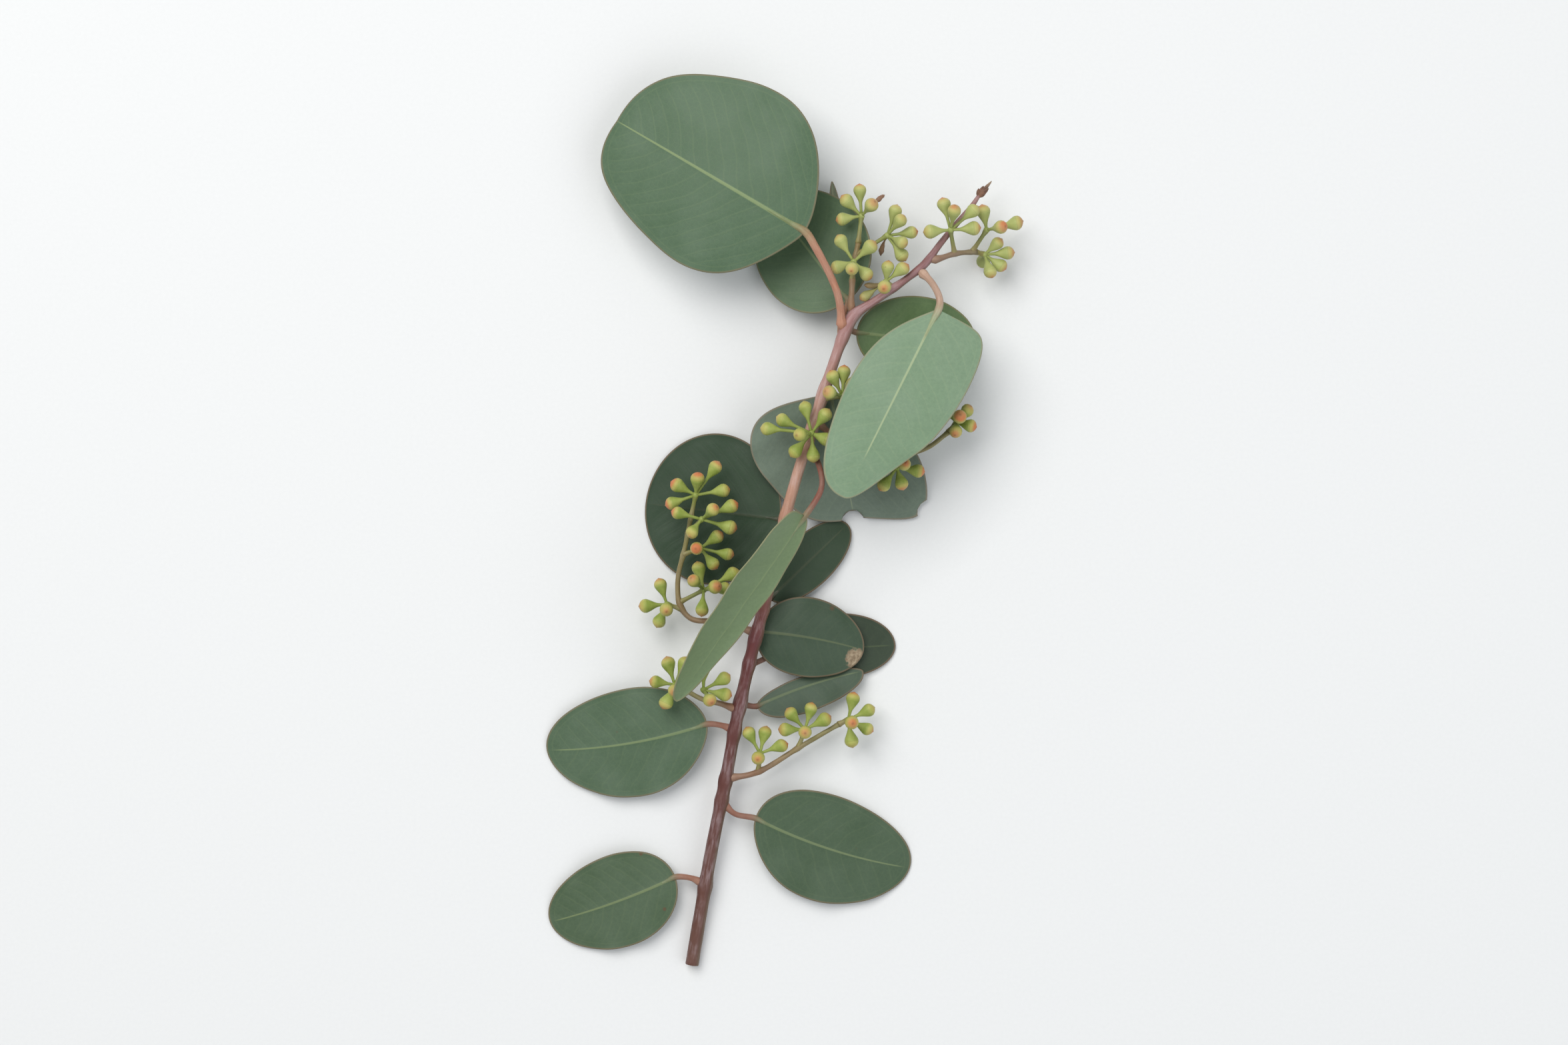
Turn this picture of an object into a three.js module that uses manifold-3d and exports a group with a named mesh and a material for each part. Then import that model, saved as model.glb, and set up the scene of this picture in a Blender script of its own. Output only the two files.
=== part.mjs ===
// A cut eucalyptus sprig with round leaves and bud umbels, lying on a flat surface.
// Millimetres, +Z up. The surface is z = 0, and the sprig runs along Y, tip towards +Y.

import * as THREE from 'three';
import { mergeVertices } from 'three/addons/utils/BufferGeometryUtils.js';
import Module from 'manifold-3d';

const wasm = await Module();
wasm.setup();

// Driving sizes
const SEAT_GAP = 0.3; // between a piece and the stem or twig that carries it
const STEM_SIDES = 10;
const STEM_STEP = 8; // length of stem between two rings
const TWIG_SIDES = 7;
const TWIG_STEP = 6;
const TWIG_RADII = [0.95, 0.7]; // at the stem and at the twig's end
const STALK_SIDES = 6;
const STALK_STEP = 5;
const STALK_RADII = [0.6, 0.55];
const PETIOLE_RADII = [1.15, 0.85];
const BLADE_THICKNESS = 0.5;
const BLADE_END_WIDTH = 0.8; // half width at the base and at the tip
const BLADE_ACROSS = 4; // strips across a blade
const BLADE_ALONG = 9; // strips along a blade
const SHOULDER_POWER = 1.3; // how the push at a blade's shoulders grows across it
const SHOULDER_SHARES = [0.55, 0.95]; // where that push starts and where it is full
const MIDRIB_ROOT = 5; // how far the petiole runs on under the blade
const HUB_RADIUS = 1.05; // swelling where a group's bud stalks meet
const BUD_SIDES = 6;
const BUD_MIDDLE = 3.9; // from a bud's foot to its widest place
const BUD_OUTLINE = [[2.3, 3.9], [1.95, 5.2], [0, 6.4]]; // radius and height above the bud's foot
const BUD_REACH = 7; // usual distance from the hub to a bud's middle
const SHORTEST_STALK = 0.8; // of a single bud

// Colours
const COLORS = {
  stem: 0xa0686a, twig: 0x9a9a5c, leaf: 0x5c7758, pale: 0x83987a, bud: 0xa6b160, bract: 0x6a3f33,
};

const at = (x, y, z) => new THREE.Vector3(x, y, z);

// The main stem: centreline and radius, from the cut end to the tip
const STEM = [
  [at(-28.9, -138.7, 2.1), 2.1], [at(-26, -121.5, 3.5), 2.05], [at(-22.5, -101.5, 5.5), 2],
  [at(-18.5, -82, 7.5), 1.95], [at(-14.5, -60.5, 9.5), 1.9], [at(-9.5, -38.5, 12), 1.85],
  [at(-5, -21.5, 13.5), 1.8], [at(0.4, 1.5, 15.5), 1.75], [at(4.3, 15.5, 17), 1.7],
  [at(8.5, 28.5, 18), 1.7], [at(13.5, 44, 19), 1.65], [at(18.5, 58, 19.5), 1.65],
  [at(21.5, 64, 19.5), 1.6], [at(28, 68.5, 19), 1.25], [at(38, 75.5, 17.5), 1.1],
  [at(43.5, 80, 16.5), 1.1], [at(48.5, 86.5, 15.5), 1], [at(52.5, 91.5, 15), 0.95],
  [at(58.5, 98.5, 14.5), 0.8], [at(60.5, 101.5, 14.5), 0.6],
];

// Side twigs: centreline from the stem outwards
const TWIGS = {
  twig_top: [at(20.5, 65, 19.5), at(21, 72, 18.5), at(21.5, 79.5, 17.5), at(23, 86.5, 17)],
  twig_tip: [at(44.8, 81.2, 16.4), at(48.5, 82, 15.5), at(53, 83.5, 14), at(60, 84.3, 12)],
  twig_right: [at(9.7, 31.5, 18), at(18, 25, 15), at(31, 20.5, 14), at(44, 23, 14), at(51, 28, 14.5)],
  twig_left: [
    at(-8.5, -34.5, 12), at(-19, -31, 9.5), at(-29, -30, 8.5), at(-32.5, -25.5, 8.5),
    at(-33, -17, 9), at(-31, -8.5, 10), at(-29, 1.5, 11),
  ],
  twig_low_left: [at(-14, -58.5, 10), at(-19.5, -56.5, 10.5), at(-25.5, -55, 11), at(-31, -52, 11.5)],
  twig_low_right: [at(-18.2, -80, 7.7), at(-8.5, -78, 8.5), at(5, -70, 9), at(17, -63, 9)],
};

// Leaves: petiole from the stem to the blade's base, then the blade's tip. Pairs are for the left
// and the right of somebody walking from base to tip: wide is the half width, full says how far the
// widest place lies towards the base, pinch how hollow the outline is beside the petiole, square
// fills out the shoulders beside the base, and blunt pushes those beside the tip past it. roll turns
// the blade about its midrib, bow arches it, bend curves the midrib sideways, and fold lifts both
// edges.
const PLAIN_LEAF = {
  full: [0, 0], pinch: [0, 0], square: [0, 0], blunt: [0, 0], roll: 0, bow: 0, bend: 0, fold: 0,
};
const LEAVES = {
  leaf_large_round: {
    petiole: [at(18, 59.5, 20.2), at(16.5, 70.5, 23.5), at(9.5, 85, 25.7), at(6.5, 89.5, 26)],
    tip: at(-52, 125, 12), wide: [28, 32.5], full: [0.2, 0.2], pinch: [0.6, 0.3], blunt: [11, 7],
    roll: -3, bow: 4, fold: -6,
  },
  leaf_long_pale: {
    petiole: [at(42, 78.2, 16.8), at(46, 73.5, 21.5), at(48, 68.5, 24.5), at(47.5, 65.5, 26)],
    tip: at(18.5, 7.5, 29), wide: [17.5, 15], full: [0.4, 0], pinch: [0, 0.8],
    square: [0.65, 0.1], blunt: [-9, 5], bow: 2, fold: -4,
  },
  leaf_turned: {
    petiole: [at(7.5, 24.5, 17.8), at(11, 17, 21), at(11.5, 10.5, 24), at(6.5, 2, 25)],
    tip: at(-33.5, -55, 24), wide: [6.6, 13.2], full: [0.2, 0.1], square: [0, 0.6],
    roll: -50, fold: 10,
  },
  leaf_low_right: {
    petiole: [at(-9.3, -36, 12), at(-9.8, -35.2, 9.8), at(-8.5, -34, 8.4)],
    tip: at(25, -40, 4.5), wide: [12.5, 12.5], full: [0.1, 0.1], bow: 1.5, bend: 1, fold: -5,
  },
  leaf_low_right_back: {
    petiole: [at(-10.8, -44.5, 11.3), at(-8, -43.5, 6.5), at(-1, -40.5, 4.2)],
    tip: at(35, -38.5, 0.25), wide: [11, 9.5],
  },
  leaf_low_tilted: {
    petiole: [at(-13.3, -55.5, 10.05), at(-11.8, -57, 7.4), at(-8.5, -57.5, 5.8)],
    tip: at(24.8, -46.6, 3.4), wide: [3.4, 8], full: [0.1, 0.1], bow: 0.5, bend: 1, roll: -12,
  },
  leaf_under_round: {
    petiole: [at(18, 57, 19.4), at(17.5, 62, 15.5), at(20, 69, 13)],
    tip: at(-4, 101, 0.8), wide: [17.5, 19], full: [0.1, 0.1], roll: -10, bow: 1.5,
  },
  leaf_narrow: {
    petiole: [at(20.3, 62, 18.8), at(20.8, 66, 9.5), at(18.5, 79, 3.4)],
    tip: at(15, 107, 2.4), wide: [4, 4], full: [0.2, 0.2], blunt: [-9, -9],
    roll: 35, bend: 1, fold: 10,
  },
  leaf_fork: {
    petiole: [at(20, 60, 19.3), at(20.3, 59.8, 16.4), at(22.5, 59, 14.8)],
    tip: at(60, 55, 6), wide: [13.5, 13], bow: 1.5,
  },
  leaf_broad_back: {
    petiole: [at(12.6, 41, 18.8), at(13.8, 43, 17), at(14.5, 40, 15)],
    tip: at(22, 1.5, 2.5), wide: [21, 26], full: [-0.65, 0.35], square: [0.3, 0.45],
    blunt: [9, 9], bow: 0.5,
  },
  leaf_dark_right: {
    petiole: [at(-6.4, -27, 13), at(-6, -26, 8), at(-4.5, -24, 4.2)],
    tip: at(20, -0.5, 0.7), wide: [8, 8], bow: 0.3,
  },
  leaf_dark_left: {
    petiole: [at(0.4, 1.5, 15.5), at(0.2, 1.2, 9), at(-1, 1, 4.8)],
    tip: at(-43.5, 6, 0.25), wide: [23, 24.5], bow: -0.3,
  },
  leaf_stem_left: {
    petiole: [at(-15.5, -65, 9), at(-19, -63.5, 7.5), at(-24, -63, 6.5)],
    tip: at(-74.5, -71.5, 0.25), wide: [17, 17], full: [0.1, 0.1], pinch: [0.2, 0.2],
    bow: 1, bend: 2,
  },
  leaf_stem_right: {
    petiole: [at(-19.5, -87, 7), at(-15.5, -91, 6.5), at(-9, -92.5, 5.5)],
    tip: at(39.5, -108.5, 0.25), wide: [16.5, 17], full: [0.1, 0.1], pinch: [0, 0.2],
    bow: 1, bend: -2,
  },
  leaf_base_left: {
    petiole: [at(-25, -113.5, 4.5), at(-28.5, -111.5, 4.5), at(-34, -111, 4.2)],
    tip: at(-73.5, -125.5, 0.25), wide: [14.5, 14.5], full: [0.1, 0.1], bow: 1, bend: 1,
  },
};

// The dry bract at the stem's tip: its foot, the way it points, and radius and distance along it
const BRACT_FOOT = at(61, 102.2, 14.5);
const BRACT_HEADING = at(0.65, 0.76, 0).normalize();
const BRACT_OUTLINE = [[0, 0], [0.5, 0], [1.1, 1.6], [0.4, 3.6], [0, 5]];

// Umbels, each a stalk with its group of buds: the carrier, the stalk's foot and hub, and each
// bud's middle as x, y and a lift from -1 (pointing down) to 1 (pointing up)
const UMBELS = {
  umbel_stem_front: { on: 'main_stem', foot: at(9, 29, 18), hub: at(8.5, 27.5, 23), buds: [
    [6.5, 35.5, 0.5], [-0.5, 31.5, 0.5], [-5, 29, 0], [5, 27, 1], [3.5, 22, 0.2], [9, 20.5, 0.5],
    [12.5, 33, 0.4], [12, 26, 0.1]] },
  umbel_stem_upper: { on: 'main_stem', foot: at(11.5, 38, 19), hub: at(18, 39, 22.5), buds: [
    [15, 45, 0.7], [14, 40, 0.9], [20.5, 43.5, 0.3], [18.5, 46.5, 0]] },
  umbel_top_low: { on: 'twig_top', foot: at(21.1, 75, 18), hub: at(21.5, 80.5, 21), buds: [
    [17.5, 87, 0.5], [16.5, 79, -0.1], [25.5, 76.5, 0.5], [26.5, 85, 0.6], [21, 78, 1]] },
  umbel_top_high: { on: 'twig_top', foot: at(23, 86.5, 17), hub: at(24, 95, 17), buds: [
    [19.5, 99.5, 0.5], [18, 94, 0.2], [23.5, 103, 0.2], [27, 98, 0.9], [30, 101, -0.2]] },
  umbel_top_right: { on: 'twig_top', foot: at(22.3, 83, 17.2), hub: at(32, 89, 16), buds: [
    [34.5, 96.5, -0.2], [36, 93.5, 0.9], [39.5, 90, 0], [36.5, 86.5, 0.8], [36.5, 83, -0.4],
    [30, 85, -0.8]] },
  umbel_fork: { on: 'main_stem', foot: at(34, 72.7, 18.2), hub: at(31.5, 74.5, 19), buds: [
    [26.5, 72.5, 0.2], [25, 69.8, 0.6], [31, 72.5, 1], [32, 78.5, 0.2], [36.5, 78.5, 0.3]] },
  umbel_tip_stem: { on: 'twig_tip', foot: at(53, 83.5, 14), hub: at(51.5, 90.5, 19), buds: [
    [49.5, 98.5, 0.2], [52.5, 96, 0.9], [45.5, 90, 0.3], [58.5, 96.5, 0.3], [58.5, 91, 0.3]] },
  umbel_tip_upper: { on: 'twig_tip', foot: at(58.5, 84.2, 12.5), hub: at(63, 91, 12.5), buds: [
    [62, 96.5, 0.2], [67, 91.5, 0.9], [72, 93, 0.2]] },
  umbel_tip_lower: { on: 'twig_tip', foot: at(59.5, 84.3, 12), hub: at(62.5, 83.5, 10.5), buds: [
    [66.5, 87, 0.2], [69.5, 84, 0.4], [67.5, 80, -0.3], [64, 78, 0.5], [62.5, 82, -1]] },
  umbel_right_end: { on: 'twig_right', foot: at(51, 28, 14.5), hub: at(53.5, 31, 15), buds: [
    [56.8, 34.6, 0.6], [57.8, 30, 0.2], [53.2, 28.6, 0.5], [54.2, 32.6, 1], [51, 35, -0.3]] },
  umbel_right_middle: { on: 'twig_right', foot: at(33, 20.3, 14), hub: at(35, 17, 15.5), buds: [
    [36.5, 12, 0], [41.5, 16, 0], [31, 11.5, 0.1], [37, 18, 1]] },
  umbel_right_inner: { on: 'twig_right', foot: at(24, 22.8, 14.5), hub: at(25, 27, 16), buds: [
    [22, 32, 0.2], [29.5, 31.5, 0.2], [26, 27.5, 1], [31, 26, 0.2]] },
  umbel_left_end: { on: 'twig_left', foot: at(-29, 1.5, 11), hub: at(-27.5, 8.5, 12), buds: [
    [-33, 11.5, 0.2], [-27, 13.5, 0.5], [-21.5, 17, 0], [-19, 10, 0], [-35, 6, -0.4]] },
  umbel_left_high: { on: 'twig_left', foot: at(-30, -3.5, 10.5), hub: at(-25.5, 1, 17), buds: [
    [-16.5, 5, 0], [-22, 4, 0.9], [-33, 3, 0.4], [-28.5, -3, 0.8], [-17, -1.5, 0]] },
  umbel_left_middle: { on: 'twig_left', foot: at(-31.5, -10, 10), hub: at(-26, -8, 12), buds: [
    [-21, -4.5, 0], [-27, -8, 1], [-17.5, -10, -0.2], [-22, -13, 0.3]] },
  umbel_left_low: { on: 'twig_left', foot: at(-32.7, -25, 8.5), hub: at(-25, -21, 11), buds: [
    [-26.5, -14.5, -0.3], [-16, -16, -0.2], [-28, -18, 1], [-18.5, -20.5, 0], [-25.5, -27, 0.5],
    [-21.5, -20, 1]] },
  umbel_left_outer: { on: 'twig_left', foot: at(-32, -27, 8.5), hub: at(-36.5, -25.5, 9.5), buds: [
    [-38.5, -19.5, 0], [-39, -31, 0], [-43, -26, 0.2], [-36.5, -27, 1]] },
  umbel_low_left_inner: { on: 'twig_low_left', foot: at(-22.5, -55.6, 10.8), hub: at(-25, -52, 14),
    buds: [[-18.5, -48.5, 0], [-18.5, -53.5, 0.2], [-25, -45.5, 0], [-23, -55, 1]] },
  umbel_low_left_end: { on: 'twig_low_left', foot: at(-31, -52, 11.5), hub: at(-34, -50.5, 12), buds: [
    [-36, -44, 0], [-31, -44, 0.1], [-40, -49.5, 0.2], [-36.5, -56, 0], [-34, -52, 1]] },
  umbel_low_right_end: { on: 'twig_low_right', foot: at(17, -63, 9), hub: at(20, -61.5, 9.5),
    buds: [[21.5, -55, 0.2], [26.5, -58.5, 0], [26, -64.5, 0.2], [21, -68, 0], [21, -62, 1]] },
  umbel_low_right_middle: { on: 'twig_low_right', foot: at(4.5, -70.3, 9), hub: at(6.5, -64.5, 10.5),
    buds: [[2, -59.5, 0], [8.5, -58, 0.2], [12.5, -61.5, 0.2], [6.5, -65, 1], [0.5, -64.5, 0.2]] },
  umbel_low_right_inner: { on: 'twig_low_right', foot: at(-8, -77.7, 8.5), hub: at(-7.5, -72, 10),
    buds: [[-11, -65.5, 0.3], [-6, -65.5, 0], [-1, -69.5, 0.3], [-8, -73, 1]] },
};

// A closed geometry as a solid: the doubled corners joined, and flat slivers left out
function solidOf(geometry) {
  geometry.deleteAttribute('normal');
  geometry.deleteAttribute('uv');
  const welded = mergeVertices(geometry, 1e-4);
  const corners = [];
  for (let i = 0; i < welded.index.count; i += 3) {
    const [a, b, c] = [0, 1, 2].map((k) => welded.index.getX(i + k));
    if (a !== b && b !== c && c !== a) corners.push(a, b, c);
  }
  return new wasm.Manifold(new wasm.Mesh({
    numProp: 3,
    vertProperties: new Float32Array(welded.attributes.position.array),
    triVerts: new Uint32Array(corners),
  }));
}

// A round limb along a smooth path, with a radius for each point of the path
function limb(points, radii, sides, step, growth = 0) {
  const path = new THREE.CatmullRomCurve3([
    points[0].clone().add(points[0].clone().sub(points[1]).setLength(growth)),
    ...points.slice(1, -1),
    points.at(-1).clone().add(points.at(-1).clone().sub(points.at(-2)).setLength(growth)),
  ]);
  const steps = Math.max(2, Math.round(path.getLength() / step));
  const corners = Array.from({ length: sides }, (_, k) => {
    const angle = (2 * Math.PI * k) / sides;
    return new THREE.Vector2(Math.cos(angle), Math.sin(angle));
  });
  const geometry = new THREE.ExtrudeGeometry(new THREE.Shape(corners), {
    steps, bevelEnabled: false, extrudePath: path,
  });
  const centres = path.getSpacedPoints(steps);
  const radiusAt = (ring) => {
    const place = path.getUtoTmapping(ring / steps) * (radii.length - 1);
    const below = Math.min(Math.floor(place), radii.length - 2);
    return THREE.MathUtils.lerp(radii[below], radii[below + 1], place - below) + growth;
  };
  const position = geometry.attributes.position;
  const corner = new THREE.Vector3();
  for (let i = 0; i < position.count; i++) {
    corner.fromBufferAttribute(position, i);
    const distances = centres.map((centre) => centre.distanceTo(corner));
    const ring = distances.indexOf(Math.min(...distances));
    corner.sub(centres[ring]).multiplyScalar(radiusAt(ring)).add(centres[ring]);
    position.setXYZ(i, corner.x, corner.y, corner.z);
  }
  return solidOf(geometry);
}

// A tapered limb whose radius changes evenly between its two ends
function taperedLimb(points, [first, last], sides, step, growth = 0) {
  const radii = points.map((_, i) => THREE.MathUtils.lerp(first, last, i / (points.length - 1)));
  return limb(points, radii, sides, step, growth);
}

// A blade's own directions: along the midrib, up from its face, and to its left
function bladeAxes(leaf) {
  const base = leaf.petiole.at(-1);
  const along = leaf.tip.clone().sub(base);
  const length = along.length();
  along.normalize();
  const up = at(0, 0, 1).addScaledVector(along, -along.z).normalize();
  up.applyAxisAngle(along, THREE.MathUtils.degToRad(leaf.roll));
  return { base, along, length, up, left: up.clone().cross(along) };
}

// The point of a blade at an angle from 0 at its base to pi at its tip, and across from -1 (right
// edge) to 1 (left edge)
function bladePoint(leaf, axes, angle, across, height) {
  const share = (1 - Math.cos(angle)) / 2;
  const side = across > 0 ? 0 : 1;
  const wide = leaf.wide[side];
  const rounding = Math.max(Math.sin(angle), 0) ** (1 - leaf.square[side] * (1 - share) ** 2)
    * (1 + leaf.full[side] * Math.cos(angle)) * (1 - leaf.pinch[side] * (1 - share) ** 8);
  const half = Math.max(wide * rounding, BLADE_END_WIDTH);
  const fold = THREE.MathUtils.degToRad(leaf.fold);
  const arch = 4 * share * (1 - share);
  const push = leaf.blunt[side] * (Math.abs(across) * half / wide) ** SHOULDER_POWER
    * THREE.MathUtils.smoothstep(share, ...SHOULDER_SHARES);
  return axes.base.clone()
    .addScaledVector(axes.along, share * axes.length + push)
    .addScaledVector(axes.left, leaf.bend * arch + across * half * Math.cos(fold))
    .addScaledVector(axes.up, leaf.bow * arch + across * across * half * Math.sin(fold) + height);
}

function blade(leaf) {
  const axes = bladeAxes(leaf);
  const geometry = new THREE.BoxGeometry(1, 1, 1, BLADE_ACROSS, BLADE_ALONG, 1);
  const position = geometry.attributes.position;
  for (let i = 0; i < position.count; i++) {
    const angle = (position.getY(i) + 0.5) * Math.PI;
    const height = position.getZ(i) * BLADE_THICKNESS;
    const point = bladePoint(leaf, axes, angle, -2 * position.getX(i), height);
    position.setXYZ(i, point.x, point.y, point.z);
  }
  return solidOf(geometry);
}

function leafSolid(leaf) {
  const axes = bladeAxes(leaf);
  const root = axes.base.clone().addScaledVector(axes.along, MIDRIB_ROOT);
  const petiole = taperedLimb([...leaf.petiole, root], PETIOLE_RADII, STALK_SIDES, STALK_STEP);
  return petiole.add(blade(leaf));
}

// One bud on its stalk, turned from the hub to where its middle lies
function budSolid(hub, [x, y, lift]) {
  const inPlan = Math.hypot(x - hub.x, y - hub.y);
  const rise = lift * Math.sqrt(Math.max(BUD_REACH ** 2 - inPlan ** 2, 0));
  const towards = at(x - hub.x, y - hub.y, rise);
  const stalk = Math.max(towards.length() - BUD_MIDDLE, SHORTEST_STALK);
  const outline = [[0, 0], [0.5, 0], [0.5, stalk], ...BUD_OUTLINE.map(([r, z]) => [r, stalk + z])];
  const geometry = new THREE.LatheGeometry(outline.map(([r, z]) => new THREE.Vector2(r, z)), BUD_SIDES);
  geometry.applyQuaternion(new THREE.Quaternion().setFromUnitVectors(at(0, 1, 0), towards.normalize()));
  geometry.translate(hub.x, hub.y, hub.z);
  return solidOf(geometry);
}

function umbelSolid({ foot, hub, buds }) {
  const swelling = new THREE.IcosahedronGeometry(HUB_RADIUS, 0).translate(hub.x, hub.y, hub.z);
  const middle = foot.clone().lerp(hub, 0.5);
  let solid = taperedLimb([foot, middle, hub], STALK_RADII, STALK_SIDES, STALK_STEP);
  solid = solid.add(solidOf(swelling));
  for (const bud of buds) solid = solid.add(budSolid(hub, bud));
  return solid;
}

function bractSolid() {
  const outline = BRACT_OUTLINE.map(([r, z]) => new THREE.Vector2(r, z));
  const geometry = new THREE.LatheGeometry(outline, BUD_SIDES);
  const turn = new THREE.Quaternion().setFromUnitVectors(at(0, 1, 0), BRACT_HEADING);
  geometry.applyQuaternion(turn);
  geometry.translate(BRACT_FOOT.x, BRACT_FOOT.y, BRACT_FOOT.z);
  return solidOf(geometry);
}

// The sprig: each piece is cut back from whatever carries it, so that it seats with a small gap
const sprig = new THREE.Group();

function place(name, solid, color, roughness) {
  const mesh = solid.getMesh();
  const geometry = new THREE.BufferGeometry();
  geometry.setAttribute('position', new THREE.BufferAttribute(mesh.vertProperties, 3));
  geometry.setIndex(new THREE.BufferAttribute(mesh.triVerts, 1));
  geometry.computeVertexNormals();
  const material = new THREE.MeshStandardMaterial({ color, roughness, metalness: 0 });
  const piece = new THREE.Mesh(geometry, material);
  piece.name = name;
  sprig.add(piece);
}

const stemPoints = STEM.map(([point]) => point);
const stemRadii = STEM.map(([, radius]) => radius);
place('main_stem', limb(stemPoints, stemRadii, STEM_SIDES, STEM_STEP), COLORS.stem, 0.6);

const keepClearOf = { main_stem: limb(stemPoints, stemRadii, STEM_SIDES, STEM_STEP, SEAT_GAP) };

for (const [name, points] of Object.entries(TWIGS)) {
  const solid = taperedLimb(points, TWIG_RADII, TWIG_SIDES, TWIG_STEP);
  place(name, solid.subtract(keepClearOf.main_stem), COLORS.twig, 0.6);
  keepClearOf[name] = taperedLimb(points, TWIG_RADII, TWIG_SIDES, TWIG_STEP, SEAT_GAP);
}

for (const [name, leaf] of Object.entries(LEAVES)) {
  const color = name === 'leaf_long_pale' ? COLORS.pale : COLORS.leaf;
  const solid = leafSolid({ ...PLAIN_LEAF, ...leaf });
  place(name, solid.subtract(keepClearOf.main_stem), color, 0.55);
}

for (const [name, umbel] of Object.entries(UMBELS)) {
  place(name, umbelSolid(umbel).subtract(keepClearOf[umbel.on]), COLORS.bud, 0.5);
}

place('tip_bract', bractSolid(), COLORS.bract, 0.8);

export default sprig;
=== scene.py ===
"""A cut eucalyptus sprig with round leaves and umbels of capped buds, laid on a pale surface.

The sprig runs along Y with its tip towards +Y and rests on z = 0. Sizes and places in the tables
are millimetres, and a piece is scaled to metres when it becomes a mesh.
"""

import random
from math import acos, atan2, copysign, cos, exp, hypot, pi, radians, sin, sqrt

import bmesh
import bpy
from mathutils import Matrix, Vector, kdtree, noise


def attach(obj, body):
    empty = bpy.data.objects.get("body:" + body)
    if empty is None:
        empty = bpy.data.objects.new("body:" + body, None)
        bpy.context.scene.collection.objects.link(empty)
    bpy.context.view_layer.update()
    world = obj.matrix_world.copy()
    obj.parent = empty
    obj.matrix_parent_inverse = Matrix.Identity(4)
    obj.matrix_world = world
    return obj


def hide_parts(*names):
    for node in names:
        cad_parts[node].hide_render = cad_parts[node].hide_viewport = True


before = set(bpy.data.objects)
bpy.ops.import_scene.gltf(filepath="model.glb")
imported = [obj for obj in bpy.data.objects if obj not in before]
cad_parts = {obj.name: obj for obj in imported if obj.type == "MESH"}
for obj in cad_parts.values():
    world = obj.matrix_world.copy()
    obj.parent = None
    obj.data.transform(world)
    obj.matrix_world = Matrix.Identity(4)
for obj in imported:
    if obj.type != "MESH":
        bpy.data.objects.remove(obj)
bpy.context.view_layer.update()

SCENE = bpy.context.scene
MM = 0.001
BODY = "root"
LOWEST = 0.02  # no finished surface goes below this height over the table
CURVE_SAMPLES = 14  # fine points between two control points of a curve

# Stem, twigs and stalks: sides round a limb, steps along it, and radii at its foot and its end
STEM_SIDES = 28
STEM_STEP = 1.1
TWIG_SIDES = 18
TWIG_STEP = 1.0
TWIG_RADII = (0.95, 0.7)
STALK_SIDES = 12
STALK_STEP = 0.9
STALK_RADII = (0.62, 0.52)
PETIOLE_SIDES = 16
PETIOLE_STEP = 1.0

# Swellings: how thick, where along the limb, and how far to each side
TWIG_FLARE = (0.45, 1.8, 2)
PETIOLE_FLARE = (0.4, 1.6, 1.8)
STALK_FLARE = (0.3, 0, 1.4)
KNOT_SWELLING = 0.2  # share by which a limb thickens where something grows from it
STEM_KNOT_REACH = 2.3
TWIG_KNOT_REACH = 1.2

# Leaf blades
BLADE_ROWS = 64
BLADE_INNER = 11  # columns between the midrib and the rim, on each side
RIB_COLUMNS = (0.42, 0.95)  # distance of the two columns beside the midrib
HALF_COLUMNS = len(RIB_COLUMNS) + BLADE_INNER + 2
RIM_WIDTH = 0.7
BLADE_THICKNESS = 0.5  # beside the midrib
RIM_THICKNESS = 0.3
RIM_BEAD = (0.07, 0.35, 0.25)  # a swelling that runs round the blade inside its edge
TIP_WIDTH = 0.12  # half width left at the two ends of a blade
RIB_HEIGHT = 0.16
RIB_REACH = 0.5
QUILTING = 0.22  # height of the gentle swells between the side veins
QUILT_SIZE = 7
RIPPLES = 7  # rises and falls of the wave along an edge
BITTEN_RIM = 0.3  # how close to its edge a blade looks where it is bitten
UNDER_RIB = [0.06, 0.14, 0.28, 0.44, 0.6, 0.76, 0.9]  # places of the midrib under the blade
UNDER_RIB_HEIGHT = -0.3

# Buds
BUD_SIDES = 16
BUD_MIDDLE = 3.9  # from a bud's foot to its widest place
BUD_REACH = 7  # usual distance from the hub to a bud's middle
SHORTEST_STALK = 0.8
HUB_RADIUS = 1.0
CUP_OUTLINE = [  # radius and height above the bud's foot
    (0.56, -0.1), (0.72, 0.5), (0.97, 1.1), (1.27, 1.7), (1.59, 2.3), (1.88, 2.9), (2.1, 3.45),
    (2.21, 3.85), (2.21, 4),
]
CAP_OUTLINE = [  # radius and height above the seam
    (2.17, 0.05), (2.2, 0.16), (2.15, 0.55), (1.98, 0.95), (1.67, 1.36), (1.24, 1.7), (0.8, 1.93),
    (0.45, 2.06), (0.25, 2.17), (0.1, 2.25), (0, 2.26),
]
SEAM_HEIGHT = 4.05
BUD_LENGTH = SEAM_HEIGHT + CAP_OUTLINE[-1][1]
SEAM_SHARE = SEAM_HEIGHT / BUD_LENGTH

# The main stem: centreline and radius, from the cut end to the tip
STEM = [
    ((-28.9, -138.7, 2.1), 2.1), ((-26, -121.5, 3.5), 2.05), ((-22.5, -101.5, 5.5), 2),
    ((-18.5, -82, 7.5), 1.95), ((-14.5, -60.5, 9.5), 1.9), ((-9.5, -38.5, 12), 1.85),
    ((-5, -21.5, 13.5), 1.8), ((0.4, 1.5, 15.5), 1.75), ((4.3, 15.5, 17), 1.7),
    ((8.5, 28.5, 18), 1.7), ((13.5, 44, 19), 1.65), ((18.5, 58, 19.5), 1.65),
    ((21.5, 64, 19.5), 1.6), ((28, 68.5, 19), 1.25), ((38, 75.5, 17.5), 1.1),
    ((43.5, 80, 16.5), 1.1), ((48.5, 86.5, 15.5), 1), ((52.5, 91.5, 15), 0.95),
    ((58.5, 98.5, 14.5), 0.8), ((60.5, 101.5, 14.5), 0.6),
]
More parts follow.
